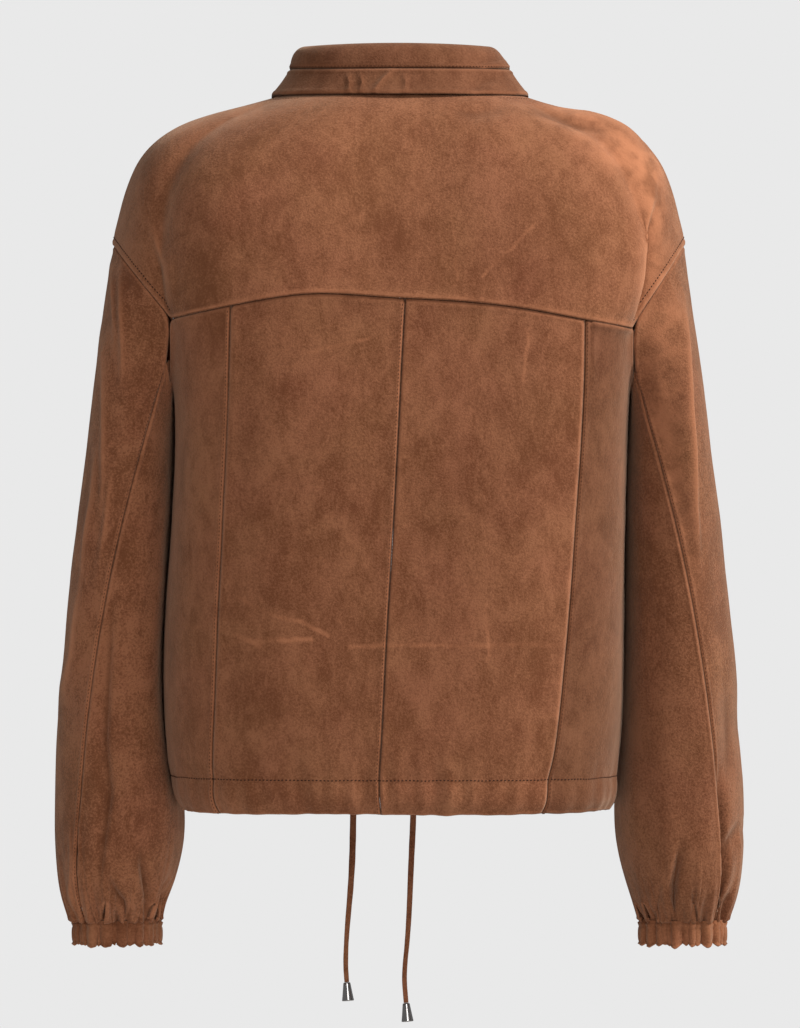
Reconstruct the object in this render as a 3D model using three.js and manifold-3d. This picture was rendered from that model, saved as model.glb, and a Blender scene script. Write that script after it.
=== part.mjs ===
// A suede blouson, hollow and filled out as it is worn: yoke, four back panels, two fronts, a two-part
// collar, two-piece sleeves gathered into elastic cuffs, a drawcord hem and a front zip.
// Millimetres, +Z up. The front faces -Y and the wearer's left is +X.
// The origin lies between the two shoulder points, at the neck, where the wearer's shoulders hold the jacket.
import * as THREE from "three";
import { mergeVertices } from "three/addons/utils/BufferGeometryUtils.js";
import Module from "manifold-3d";

const wasm = await Module();
wasm.setup();

// Driving dimensions
const CLOTH = 1.5; // wall of one layer of suede
const SEAM_GAP = 0.3; // between two pieces that are sewn together
const BEVEL = 0.3; // how far a cut edge leans back on its inner side, as a share of the wall
const HEM_Z = -570; // lower edge of the body
const CASING = 28; // height of the drawcord casing along the hem
const CASING_WALL = 4; // turned-up cloth and cord together
const UNDERARM_Z = -245; // lowest point of the armhole
const CORNER_Y = 70; // how far the corners of the armhole lie behind and before the arm
const SHOULDER_X = { left: 228.5, right: 226.5 }; // outermost point of each armhole seam
const SHOULDER_Z = -118;
const YOKE_LINE = -180; // about where the shoulders end and the body begins
const CUFF_TOP_Z = -662;
const CUFF_BOTTOM_Z = -680;
const GATHERS = 18; // round each cuff
const GATHER = { height: 3.1, reach: 62, spread: 22 }; // above the cuff: size, how far up, and how unevenly
const CUFF_RIPPLE = { out: 1.7, down: 1.2, belly: 1.2, inset: 0.8, wall: 2 }; // along the cuff's elastic
const SKEW = 14; // how far the front opening has drifted to the left at the hem
const HEM_ROUNDING = { height: 13, inset: 6.5 }; // the hem rounds under
const CASING_STITCH = { height: 3.5, inset: 1.5 }; // the groove that the casing's stitching makes
const PUCKER = { count: 16, height: 1.1, reach: 75, uneven: 0.3 }; // soft waves that the drawcord makes
const ARM_CLEARANCE = { side: 1.3, top: 0.8, blend: 3 }; // between the sleeve and the body beside it

// Body sections: half widths to the wearer's left and right, depths behind and before, and how square it is.
const BODY = [
  { z: -181, left: 184, right: 187, back: 124, front: 122, square: 4.2 },
  { z: -260, left: 179, right: 182, back: 128, front: 124, square: 3.9 },
  { z: -340, left: 182, right: 179, back: 127, front: 122, square: 3.5 },
  { z: -430, left: 189, right: 179, back: 124, front: 119, square: 3.2 },
  { z: -480, left: 190, right: 178, back: 122, front: 117, square: 3.0 },
  { z: -515, left: 187, right: 176, back: 120, front: 115, square: 2.9 },
  { z: -542, left: 182, right: 174, back: 118, front: 113, square: 2.8 },
  { z: -570, left: 177, right: 172, back: 117, front: 112, square: 2.8 },
];

// The yoke seam across the back, from the left armhole to the right one.
const YOKE_SEAM = [
  { x: 182, z: -180 },
  { x: 135, z: -171 },
  { x: 96, z: -164 },
  { x: 64, z: -161 },
  { x: 0, z: -165 },
  { x: -42, z: -167 },
  { x: -92, z: -172 },
  { x: -145, z: -181.5 },
  { x: -182, z: -187 },
];

// Seams of the back: how far to the wearer's left each one lies.
const BACK_SEAMS = [
  { z: -173, left: 132.7, centre: -4.7, right: -145 },
  { z: -230, left: 134.3, centre: -0.8, right: -144 },
  { z: -337, left: 139, centre: 4.7, right: -138.2 },
  { z: -437, left: 143.7, centre: 10.9, right: -130.4 },
  { z: -506, left: 146.8, centre: 14, right: -124 },
  { z: -540, left: 148.3, centre: 16.4, right: -118 },
  { z: -565, left: 147.6, centre: 15.6, right: -116.3 },
];

// Sleeve sections: outer edge of the left and right one and inner edge of both, measured from the middle of
// the body, then half depth, and how far forward the arm hangs.
const SLEEVE = [
  { z: -118, left: 228.5, right: 226.5, inner: 182, depth: 70, forward: 0 },
  { z: -181, left: 238.5, right: 235.5, inner: 182, depth: 75, forward: 4 },
  { z: -240, left: 246, right: 244, inner: 179, depth: 80, forward: 11 },
  { z: -320, left: 257.5, right: 255.5, inner: 175, depth: 80, forward: 20 },
  { z: -400, left: 266, right: 264, inner: 175, depth: 76, forward: 27 },
  { z: -480, left: 274.5, right: 272, inner: 175, depth: 71, forward: 31 },
  { z: -540, left: 278.5, right: 276.5, inner: 172, depth: 66, forward: 34 },
  { z: -575, left: 278.5, right: 277.5, inner: 171, depth: 63, forward: 35 },
  { z: -605, left: 278, right: 277, inner: 174, depth: 60, forward: 35 },
  { z: -625, left: 275, right: 274.5, inner: 181, depth: 56, forward: 35 },
  { z: -645, left: 271, right: 270, inner: 187, depth: 48, forward: 34 },
  { z: -662, left: 263, right: 262, inner: 193, depth: 35, forward: 33 },
  { z: -680, left: 263, right: 262, inner: 193, depth: 33, forward: 33 },
];
const SLEEVE_SQUARE = 2.25; // how square the sections are: 2 is an ellipse
const sleeveOuter = (side, z) => along(SLEEVE, z, side > 0 ? "left" : "right");

// Back seam of each sleeve, as an angle round the sleeve from its outer edge towards the back.
const SLEEVE_SEAM = [
  { z: -200, angle: 137 },
  { z: -250, angle: 124 },
  { z: -300, angle: 103 },
  { z: -340, angle: 89 },
  { z: -400, angle: 80 },
  { z: -460, angle: 70 },
  { z: -520, angle: 65 },
  { z: -570, angle: 58 },
  { z: -610, angle: 55 },
  { z: -662, angle: 48 },
];
const FRONT_SLEEVE_SEAM = -138; // the hidden seam, as the same kind of angle

// Soft long folds down each sleeve: angle at top and bottom, the stretch that it covers, height and width.
const SLEEVE_FOLDS = [
  { top: 35, bottom: 25, from: -150, to: -560, height: 2.6, width: 9 },
  { top: 62, bottom: 78, from: -420, to: -655, height: 3.2, width: 10 },
  { top: 110, bottom: 95, from: -470, to: -650, height: 2.6, width: 12 },
  { top: -30, bottom: -25, from: -180, to: -540, height: 2.6, width: 10 },
  { top: -85, bottom: -78, from: -430, to: -655, height: 3.0, width: 11 },
];

// Shoulder profiles, by angle round the neck from the back: how each leaves the neck and comes down to its
// edge.
const SHOULDER = [
  { angle: -60, run: 110, drop: 26, rise: 98, lean: -22 },
  { angle: 0, run: 34, drop: 14, rise: 78, lean: 3 },
  { angle: 35, run: 62, drop: 20, rise: 86, lean: -3 },
  { angle: 60, run: 110, drop: 26, rise: 98, lean: -22 },
  { angle: 90, run: 85, drop: 22, rise: 98, lean: 14 },
  { angle: 120, run: 106, drop: 26, rise: 98, lean: -16 },
  { angle: 145, run: 56, drop: 26, rise: 76, lean: -2 },
  { angle: 180, run: 14, drop: 26, rise: 50, lean: 2 },
  { angle: 240, run: 106, drop: 26, rise: 98, lean: -16 },
];

// Neck and collar
const NECK = { side: 98.5, back: 59, front: 84.5, z: 0, fall: 0, dip: 71 };
const COLLAR_FOOT = { side: 104, back: 68, front: 89, z: 1.4, fall: 2.9, dip: 71 };
const COLLAR_SEAM = { side: 88.5, back: 57, front: 79, z: 22.5, fall: 3, dip: 66 };
const COLLAR_WALL = 2.2;
const COLLAR_CELLS = 40;
const BAND_HOLLOW = 0.012; // how far the band sinks in between foot and seam, as a share of its radius
const ROLL = { height: 22, sideways: 3, outside: 16, inside: 6, lean: 2.6 };
const SHOULDER_SEAM_CELL = 14; // where the yoke meets the front, in steps round the armhole from behind

// Front opening
const OPENING_HALF = 5; // from the middle of the zip to each front edge
const TAPE = { inner: 0.3, outer: 12, wall: 0.8, spare: 0.9 };
const CHAIN = { half: 2.6, wall: 1.7, behind: 0 };
const SLIDER = { width: 9, length: 11, thick: 2, off: 0.6, cheek: 1.6, lug: 5, pin: 0.8, pinUp: 1, below: 9 };
const PULL = { width: 6, length: 26, thick: 1.8, eye: 1.15, rim: 2.1 };

// Drawcord
const CORD = { width: 4.6, thick: 2.6, sides: 8, steps: 20, spread: 24.5 };
const EYELET = { hole: 2.8, barrel: 3.2, flange: 5.8, lip: 1, cut: 3.5, depth: 3.2, z: -556 };
const CORD_TIP = { top: 2.9, bottom: 4.9, height: 15, wall: 0.7 };
// Points of each hanging end, from its eyelet: sideways, outwards from the hem, and down.
const CORD_ROUTES = {
  left: [
    [0, -3, 0], [0, 2, 0], [0, 5.4, -0.6], [0, 7.5, -3], [0, 8.2, -7], [0, 8.2, -13], [0, 7.6, -22],
    [0.2, 6.8, -35], [0.5, 6.2, -50], [1.1, 6, -66], [2.2, 6.2, -84], [3.7, 6.6, -102],
    [5, 6.9, -118], [5.9, 7, -134], [6.1, 6.9, -148], [5.3, 6.8, -161],
  ],
  right: [
    [0, -3, 0], [0, 2, 0], [0, 5.4, -0.6], [0, 7.5, -3], [0, 8.2, -7], [0, 8.2, -13], [0.1, 7.8, -22],
    [0.5, 7.2, -35], [1.3, 6.7, -52], [2.2, 6.4, -72], [3, 6.4, -92], [4, 6.6, -112],
    [5.3, 6.9, -130], [6.8, 7.1, -146], [7.3, 7.1, -160], [6, 7, -178],
  ],
};

// Rows of points from the hem up to the underarm. The finer rows shape the casing.
const CASING_LEVELS = [HEM_Z, -567, -561, -550, HEM_Z + CASING];
const BODY_LEVELS = [...CASING_LEVELS, -535, -510, -460, -410, -360, -310, -272, UNDERARM_Z];
const ARM_ROWS = 5; // from the underarm up to each corner
const SHOULDER_OUTS = [0, 0.17, 0.34, 0.51, 0.67, 0.82, 0.925, 0.965, 1]; // from the neck to the yoke's edge
const LAP = 1.2; // the yoke's edge stands this far over what it is sewn to
const ARMHOLE_CELLS = 18;
const CELLS = { side: 6, centre: 7, frontNeck: 6 };

const SUEDE = new THREE.MeshStandardMaterial({ color: 0x8a5537, roughness: 0.95, metalness: 0 });
const METAL = new THREE.MeshStandardMaterial({ color: 0x6f6d6c, roughness: 0.25, metalness: 1 });
const TAPE_CLOTH = new THREE.MeshStandardMaterial({ color: 0x5b3a26, roughness: 0.9, metalness: 0 });

const RAD = Math.PI / 180;
const v3 = (x, y, z) => new THREE.Vector3(x, y, z);
const mix = (a, b, f) => a + (b - a) * f;
const clamp01 = (f) => Math.min(1, Math.max(0, f));
const smooth = (f) => clamp01(f) ** 2 * (3 - 2 * clamp01(f));

// A column of a table at a place, on a smooth curve through the rows. The first column is the place.
function along(table, place, column) {
  const key = Object.keys(table[0])[0];
  const rising = table[1][key] > table[0][key] ? 1 : -1;
  const last = table.length - 1;
  let i = 0;
  while (i < last - 1 && (place - table[i + 1][key]) * rising > 0) i += 1;
  const slope = (k) => {
    const a = table[Math.max(0, k - 1)];
    const b = table[Math.min(last, k + 1)];
    return (b[column] - a[column]) / (b[key] - a[key]);
  };
  const step = table[i + 1][key] - table[i][key];
  const f = clamp01((place - table[i][key]) / step);
  return (
    table[i][column] * (1 + 2 * f) * (1 - f) ** 2 +
    slope(i) * step * f * (1 - f) ** 2 +
    table[i + 1][column] * f * f * (3 - 2 * f) +
    slope(i + 1) * step * f * f * (f - 1)
  );
}

// Body

// The casing pulls in at its stitching and rounds under at the hem.
function casingInset(z) {
  const up = z - HEM_Z;
  const rounding = HEM_ROUNDING.inset * Math.max(0, 1 - up / HEM_ROUNDING.height) ** 2;
  const stitching = CASING_STITCH.inset * Math.exp(-(((up - CASING) / CASING_STITCH.height) ** 2));
  return rounding + stitching;
}

// Soft puckers that the drawcord makes, dying out above the casing.
function pucker(angle, z) {
  const fade = smooth((HEM_Z + PUCKER.reach - z) / PUCKER.reach);
  const uneven = 1 - PUCKER.uneven * (1 - Math.sin(3 * angle * RAD));
  return PUCKER.height * fade * uneven * Math.sin(PUCKER.count * angle * RAD + 0.8);
}

const halfWidth = (side, z) => along(BODY, z, side > 0 ? "left" : "right");
const halfDepth = (front, z) => along(BODY, z, front ? "front" : "back");

// A point of the body's outside: 0 degrees is the middle of the back, 90 the wearer's left side.
function bodyPoint(angle, z) {
  const s = Math.sin(angle * RAD);
  const c = Math.cos(angle * RAD);
  const n = along(BODY, z, "square");
  const across = Math.abs(s) / halfWidth(s, z);
  const deep = Math.abs(c) / halfDepth(c < 0, z);
  const r = (across ** n + deep ** n) ** (-1 / n) - casingInset(z) + pucker(angle, z);
  return v3(r * s, r * c, z);
}

// The angle of the body's section where it is so far across, on the back or the front.
function angleAtX(x, z, front = false) {
  const n = along(BODY, z, "square");
  const y = halfDepth(front, z) * (1 - Math.min(1, Math.abs(x) / halfWidth(x, z)) ** n) ** (1 / n);
  return Math.atan2(x, front ? -y : y) / RAD;
}

// How far to the side the body reaches at a place along its depth.
function sideX(side, y, z) {
  const n = along(BODY, z, "square");
  const share = Math.min(1, Math.abs(y) / halfDepth(y < 0, z));
  return halfWidth(side, z) * (1 - share ** n) ** (1 / n);
}

const yokeSeamZ = (x) => along(YOKE_SEAM, x, "z");
const cornerZ = (side) => yokeSeamZ(side * 184);

// The armhole under the arm, from its lowest point, 0, to its corners: 1 behind and -1 before.
function underarm(side, turn) {
  const y = CORNER_Y * Math.sin(90 * turn * RAD);
  const z = mix(UNDERARM_Z, cornerZ(side), 1 - Math.cos(90 * turn * RAD));
  return v3(side * sideX(side, y, z), y, z);
}

const angleOf = (p) => Math.atan2(p.x, p.y) / RAD;

// Levels of the body: below the underarm a height, and above it a share of the way up the armhole.
const LEVELS = [
  ...BODY_LEVELS.map((z) => ({ z, arm: 0 })),
  ...Array.from({ length: ARM_ROWS }, (_, k) => ({ z: UNDERARM_Z, arm: (k + 1) / ARM_ROWS })),
];
const levelZ = (level, top) => mix(level.z, top, 1 - Math.cos(90 * level.arm * RAD));

const openingX = (z) => SKEW * clamp01((z - YOKE_LINE) / (HEM_Z - YOKE_LINE));

// Shoulders, from the neck seam out to the yoke seam and the armholes

// A ring round the neck: 0 degrees is its back, which falls a little, and its front dips.
function neckRing(ring, angle) {
  const s = Math.sin(angle * RAD);
  const c = Math.cos(angle * RAD);
  const dip = c < 0 ? ring.dip * (-c) ** 1.4 : ring.fall * c;
  return v3(ring.side * s, (c < 0 ? ring.front : ring.back) * c, ring.z - dip);
}

// The armhole seam over the arm: beta 90 is its back corner, 0 the shoulder point, -90 its front corner.
function armholeOver(side, beta) {
  const corner = underarm(side, beta < 0 ? -1 : 1);
  const up = Math.cos(beta * RAD);
  const shoulderX = side > 0 ? SHOULDER_X.left : -SHOULDER_X.right;
  return v3(mix(corner.x, shoulderX, up), CORNER_Y * Math.sin(beta * RAD), mix(corner.z, SHOULDER_Z, up));
}

// The same seam as the straight stretches that both pieces are built with.
function armholeSeam(side, beta) {
  const at = ((90 - beta) / 180) * ARMHOLE_CELLS;
  const k = Math.min(ARMHOLE_CELLS - 1, Math.floor(at));
  const node = (i) => armholeOver(side, 90 - (180 * i) / ARMHOLE_CELLS);
  return node(k).lerp(node(k + 1), at - k);
}

// The lower edge of the shoulders for an angle round the neck.
function shoulderEdge(side, angle) {
  if (angle <= 60) {
    const body = mix(0, angleOf(underarm(side, 1)), angle / 60);
    return bodyPoint(body, yokeSeamZ(bodyPoint(body, YOKE_LINE).x));
  }
  if (angle < 120) return armholeSeam(side, 90 - 3 * (angle - 60));
  const body = mix(angleOf(underarm(side, -1)), side * 180, (angle - 120) / 60);
  return bodyPoint(body, mix(cornerZ(side), YOKE_LINE, (angle - 120) / 60));
}

// The shoulders' outside: side is 1 or -1, angle goes round the neck, and out runs from 0 at the neck to 1.
function shoulderPoint(side, angle, out) {
  if (angle < 0) return shoulderPoint(-side, -angle, out);
  const neck = neckRing(NECK, side * angle);
  const edge = shoulderEdge(side, angle);
  const away = v3(edge.x - neck.x, edge.y - neck.y, 0).normalize();
  const shape = (column) => along(SHOULDER, angle, column);
  const leave = neck.clone().addScaledVector(away, shape("run")).add(v3(0, 0, -shape("drop")));
  const arrive = edge.clone().addScaledVector(away, -shape("lean")).add(v3(0, 0, shape("rise")));
  return new THREE.CubicBezierCurve3(neck, leave, arrive, edge).getPoint(out);
}

// Walls of cloth

// A closed wall under rows of outer points, which may differ in number. A loop has no ends. Its edges stand
// back from the seams by the gap, and the inner side a little more, so that it never crosses its neighbour.
function clothWall(rows, { loop = false, wall = () => CLOTH, gap = SEAM_GAP / 2, centre, raise = () => 0 }) {
  const last = rows.length - 1;
  const shares = rows.map((row) => lengthShares(loop ? [...row, row[0]] : row));
  const at = (i, j) => {
    const row = rows[i];
    return loop ? row[(j + row.length) % row.length] : row[Math.min(row.length - 1, Math.max(0, j))];
  };
  const sample = (i, share) => {
    const k = Math.max(0, shares[i].findLastIndex((u) => u <= share + 1e-9));
    if (k >= shares[i].length - 1) return at(i, k).clone();
    return at(i, k).clone().lerp(at(i, k + 1), (share - shares[i][k]) / (shares[i][k + 1] - shares[i][k]));
  };
  const across = (i, j) => at(i, j + 1).clone().sub(at(i, j - 1));
  const down = (i, j) => {
    const share = shares[i][j];
    return sample(Math.min(last, i + 1), share).sub(sample(Math.max(0, i - 1), share));
  };
  const inward = (i, j) => {
    const way = v3(0, 0, 0);
    const edge = (step, line) => way.add(step.projectOnPlane(line.normalize()).normalize());
    if (i === 0) edge(down(i, j), across(i, j));
    if (i === last) edge(down(i, j).negate(), across(i, j));
    if (!loop && j === 0) edge(across(i, j), down(i, j));
    if (!loop && j === rows[i].length - 1) edge(across(i, j).negate(), down(i, j));
    return way;
  };
  const normals = rows.map((row, i) => row.map((_, j) => down(i, j).cross(across(i, j)).normalize()));
  let outward = 0;
  rows.forEach((row, i) => row.forEach((p, j) => (outward += normals[i][j].dot(p.clone().sub(centre(p))))));
  const sign = Math.sign(outward);
  const points = [];
  const outside = rows.map(() => []);
  const inside = rows.map(() => []);
  rows.forEach((row, i) =>
    row.forEach((p, j) => {
      const way = inward(i, j);
      const thick = wall(i, j, p);
      const outer = p.clone().addScaledVector(way, gap).addScaledVector(normals[i][j], sign * raise(i, j));
      const inner = outer.clone().addScaledVector(normals[i][j], -sign * thick);
      inner.addScaledVector(way, BEVEL * thick);
      outside[i].push(points.push(outer) - 1);
      inside[i].push(points.push(inner) - 1);
    }),
  );
  const faces = [];
  const zipRows = (a, b, sharesA, sharesB) => {
    const wrap = (row, k) => row[k % row.length];
    const [na, nb] = [sharesA.length - 1, sharesB.length - 1];
    let [i, j] = [0, 0];
    while (i < na || j < nb) {
      if (j === nb || (i < na && sharesA[i + 1] <= sharesB[j + 1] + 1e-9)) {
        faces.push(wrap(a, i), wrap(b, j), wrap(a, i + 1));
        i += 1;
      } else {
        faces.push(wrap(a, i), wrap(b, j), wrap(b, j + 1));
        j += 1;
      }
    }
  };
  for (let i = 0; i < last; i += 1) {
    zipRows(outside[i], outside[i + 1], shares[i], shares[i + 1]);
    zipRows(inside[i + 1], inside[i], shares[i + 1], shares[i]);
    if (!loop) {
      faces.push(outside[i][0], inside[i][0], outside[i + 1][0]);
      faces.push(inside[i][0], inside[i + 1][0], outside[i + 1][0]);
      const [a, b, c, d] = [outside[i].at(-1), inside[i].at(-1), outside[i + 1].at(-1), inside[i + 1].at(-1)];
      faces.push(a, c, b, b, c, d);
    }
  }
  zipRows(inside[0], outside[0], shares[0], shares[0]);
  zipRows(outside[last], inside[last], shares[last], shares[last]);
  return facingOut(points, faces);
}

// How far along a row each of its points lies, from 0 to 1.
function lengthShares(row) {
  const lengths = row.map((p, k) => (k === 0 ? 0 : p.distanceTo(row[k - 1])));
  let sum = 0;
  const running = lengths.map((length) => (sum += length));
  return running.map((length) => length / sum);
}

function facingOut(points, faces) {
  let volume = 0;
  for (let k = 0; k < faces.length; k += 3) {
    const [a, b, c] = [points[faces[k]], points[faces[k + 1]], points[faces[k + 2]]];
    volume += a.dot(b.clone().cross(c));
  }
  if (volume < 0) {
    for (let k = 0; k < faces.length; k += 3) [faces[k + 1], faces[k + 2]] = [faces[k + 2], faces[k + 1]];
  }
  const geometry = new THREE.BufferGeometry();
  geometry.setAttribute("position", new THREE.Float32BufferAttribute(points.flatMap((p) => p.toArray()), 3));
  geometry.setIndex(faces);
  return geometry;
}

const steps = (cells) => Array.from({ length: cells + 1 }, (_, k) => k / cells);
const bodyAxis = (p) => v3(0, 0, p.z);
const underShoulders = () => v3(0, 0, YOKE_LINE - 40);
const inCasing = (p) => p.z < HEM_Z + CASING - 1;
const bodyWall = (i, j, p) => (inCasing(p) ? CASING_WALL : CLOTH);
const finer = (level) => (level.z <= HEM_Z + CASING ? 2 : 1);

// Solids, booleans

function toSolid(geometry) {
  const bare = geometry.clone();
  bare.deleteAttribute("normal");
  bare.deleteAttribute("uv");
  const merged = mergeVertices(bare, 1e-3);
  return new wasm.Manifold(
    new wasm.Mesh({
      numProp: 3,
      vertProperties: merged.attributes.position.array,
      triVerts: new Uint32Array(merged.index.array),
    }),
  );
}

function toGeometry(solid) {
  const mesh = solid.getMesh();
  const geometry = new THREE.BufferGeometry();
  geometry.setAttribute("position", new THREE.BufferAttribute(new Float32Array(mesh.vertProperties), 3));
  geometry.setIndex(new THREE.BufferAttribute(new Uint32Array(mesh.triVerts), 1));
  return geometry;
}

// Pieces

// One panel of the back, between two edges that give the body's angle at a level.
function backPanel(edgeA, edgeB, cells) {
  const rows = LEVELS.map((level) =>
    steps(cells * finer(level)).map((f) => {
      const angle = mix(edgeA(level), edgeB(level), f);
      return bodyPoint(angle, levelZ(level, yokeSeamZ(bodyPoint(angle, YOKE_LINE).x)));
    }),
  );
  return clothWall(rows, { wall: bodyWall, centre: bodyAxis });
}

function sideEdge(side, front = false) {
  const turned = front ? -1 : 1;
  return (level) => {
    const p = level.arm > 0 ? underarm(side, turned * level.arm) : v3(side, 0, 0);
    return angleOf(p);
  };
}

function seamEdge(name) {
  return (level) => {
    const z = levelZ(level, YOKE_LINE);
    return angleAtX(along(BACK_SEAMS, z, name), z);
  };
}

// The neck angles at which the yoke's columns stand, so that they meet the panels below and the sleeves.
function yokeAngles(side) {
  const top = LEVELS.at(-1);
  const corner = Math.abs(sideEdge(side)(top));
  const seam = Math.abs(seamEdge(side > 0 ? "left" : "right")(top));
  const centre = side * seamEdge("centre")(top);
  const toNeck = (body) => (60 * body) / corner;
  const back = steps(CELLS.centre).map((f) => toNeck(mix(centre, seam, f)));
  const blade = steps(CELLS.side).slice(1).map((f) => toNeck(mix(seam, corner, f)));
  const over = Array.from({ length: SHOULDER_SEAM_CELL }, (_, k) => 60 + ((k + 1) * 60) / ARMHOLE_CELLS);
  return [...back, ...blade, ...over];
}

function yoke() {
  const left = yokeAngles(1);
  const right = yokeAngles(-1).slice(1);
  const rows = SHOULDER_OUTS.map((out) => [
    ...right.map((angle) => shoulderPoint(-1, angle, out)).reverse(),
    ...left.map((angle) => shoulderPoint(1, angle, out)),
  ]);
  const raise = (i) => (SHOULDER_OUTS[i] > 0.96 ? LAP : 0);
  return clothWall(rows, { centre: underShoulders, raise });
}

// A front runs from the hem to the shoulder seam and the neck, with the armhole down its side.
function frontPanel(side) {
  const seamOuts = SHOULDER_OUTS.slice().reverse();
  const seamCells = seamOuts.length - 1;
  const cells = seamCells + CELLS.frontNeck;
  const edge = sideEdge(side, true);
  const unwrapped = (angle) => (Math.sign(angle) === side ? angle : angle + side * 360);
  const openingAngle = (z) => unwrapped(angleAtX(openingX(z) + side * OPENING_HALF, z, true));
  const topZ = (angle) => shoulderEdge(side, neckAngle(angle)).z;
  const corner = edge(LEVELS.at(-1));
  const neckAngle = (body) => 120 + (60 * (body - corner)) / (side * 180 - corner);
  const rows = LEVELS.map((level) =>
    steps(cells).map((f) => {
      const angle = mix(edge(level), openingAngle(levelZ(level, YOKE_LINE)), f);
      const top = topZ(mix(corner, openingAngle(YOKE_LINE), f));
      return bodyPoint(angle, levelZ(level, top));
    }),
  );
  // Above the corner the rows fan out: their outer ends climb the armhole, and the last turns along the neck.
  const seamAngle = 60 + (60 * SHOULDER_SEAM_CELL) / ARMHOLE_CELLS;
  const lastNeck = neckAngle(openingAngle(YOKE_LINE));
  const climb = ARMHOLE_CELLS - SHOULDER_SEAM_CELL;
  for (const g of steps(climb).slice(1)) {
    rows.push(
      steps(cells).map((f, k) => {
        const onNeck = Math.max(0, (k - seamCells) / CELLS.frontNeck);
        const top = { angle: mix(seamAngle, lastNeck, onNeck), out: seamOuts[k] ?? 0 };
        const angle = mix(120, lastNeck, f) + g * (top.angle - mix(120, lastNeck, f));
        return shoulderPoint(side, Math.min(angle, 180), mix(1, top.out, g));
      }),
    );
  }
  const centre = (p) => (p.z < YOKE_LINE ? bodyAxis(p) : underShoulders());
  return clothWall(rows, { wall: bodyWall, centre });
}

// The collar band flares from its seam to the foot, which stands a little off the yoke.
function collarRows(profile, cells) {
  const start = Math.asin(OPENING_HALF / COLLAR_SEAM.side) / RAD;
  return profile.map((at) => steps(cells).map((f) => at(mix(-180 + start, 180 - start, f))));
}

function collarBand() {
  const foot = (angle) => neckRing(COLLAR_FOOT, angle);
  const seam = (angle) => neckRing(COLLAR_SEAM, angle);
  const profile = steps(2).map((f) => (angle) => {
    const p = foot(angle).lerp(seam(angle), f);
    const hollow = 1 - BAND_HOLLOW * Math.sin(Math.PI * f);
    return v3(p.x * hollow, p.y * hollow, p.z);
  });
  return clothWall(collarRows(profile, COLLAR_CELLS), { wall: () => COLLAR_WALL, centre: bodyAxis });
}

// The collar's upper part rolls over at its top and comes down inside.
function rollPoint(angle, turn) {
  const seam = neckRing(COLLAR_SEAM, angle);
  const around = neckRing(COLLAR_SEAM, angle + 0.5).sub(neckRing(COLLAR_SEAM, angle - 0.5));
  const inward = v3(around.y, -around.x, 0).normalize();
  if (inward.dot(v3(seam.x, seam.y, 0)) > 0) inward.negate();
  const c = Math.cos(turn * RAD);
  const inside = c >= 0 ? ROLL.outside * (1 - c) : ROLL.outside - ROLL.inside * c;
  const height = ROLL.height - ROLL.sideways * Math.sin(angle * RAD) ** 2;
  const up = Math.sin(turn * RAD);
  return seam.addScaledVector(inward, inside).add(v3(ROLL.lean * up, 0, height * up));
}

function collarRoll() {
  const turns = [0, 30, 60, 90, 130, 170];
  const profile = turns.map((turn) => (angle) => rollPoint(angle, turn));
  const hollow = (p) => {
    const deep = p.y < 0 ? COLLAR_SEAM.front : COLLAR_SEAM.back;
    const angle = Math.atan2(p.x / COLLAR_SEAM.side, p.y / deep) / RAD;
    return rollPoint(angle, 90).add(v3(0, 0, -ROLL.height * 0.8));
  };
  return clothWall(collarRows(profile, COLLAR_CELLS), { centre: hollow });
}

// Sleeves

const CORNER_TURN = 135; // the angle round the sleeve that meets the body's corner

// The sleeve's upper edge: over the arm it is the armhole seam, under it the same arc as the body's.
function sleeveTop(side, angle) {
  if (Math.abs(angle) <= CORNER_TURN) return armholeSeam(side, (90 * angle) / CORNER_TURN);
  const round = angle < 0 ? angle + 360 : angle;
  const at = (ARM_ROWS * (180 - round)) / (180 - CORNER_TURN);
  const k = Math.min(ARM_ROWS - 1, Math.floor(at));
  const node = (i) => underarm(side, i / ARM_ROWS);
  return node(k).lerp(node(k + 1), at - k).add(v3(side * ARM_CLEARANCE.top, 0, 0));
}

const softMax = (a, b, blend) => (a + b + Math.sqrt((a - b) ** 2 + blend ** 2)) / 2;

// A sleeve section, kept clear of the body beside it.
function sleeveSection(side, angle, z) {
  const outer = sleeveOuter(side, z);
  const inner = along(SLEEVE, z, "inner");
  const power = 2 / SLEEVE_SQUARE;
  const c = Math.cos(angle * RAD);
  const s = Math.sin(angle * RAD);
  const x = (outer + inner) / 2 + ((outer - inner) / 2) * Math.sign(c) * Math.abs(c) ** power;
  const y = along(SLEEVE, z, "depth") * Math.sign(s) * Math.abs(s) ** power - along(SLEEVE, z, "forward");
  const beside = z > HEM_Z - 4 ? sideX(side, y, Math.max(z, HEM_Z)) + ARM_CLEARANCE.side : 0;
  return v3(side * (beside > 0 ? softMax(x, beside, ARM_CLEARANCE.blend) : x), y, z);
}

// Gathers above the cuff, uneven in depth and length.
function gatherDepth(angle, z) {
  const turn = angle * RAD;
  const uneven = 0.75 + 0.35 * Math.sin(turn * 3 + 1.1) * Math.cos(turn * 2 - 0.4);
  const reach = GATHER.reach + GATHER.spread * Math.sin(turn * 2 + 0.6);
  const near = clamp01((CUFF_TOP_Z + reach - z) / reach);
  return GATHER.height * uneven * near ** 1.6 * Math.cos(turn * GATHERS);
}

function foldHeight(angle, z) {
  return SLEEVE_FOLDS.reduce((sum, fold) => {
    const f = clamp01((fold.from - z) / (fold.from - fold.to));
    const off = ((((angle - mix(fold.top, fold.bottom, f)) % 360) + 540) % 360) - 180;
    return sum + fold.height * Math.sin(Math.PI * f) ** 0.7 * Math.exp(-((off / fold.width) ** 2));
  }, 0);
}

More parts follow.
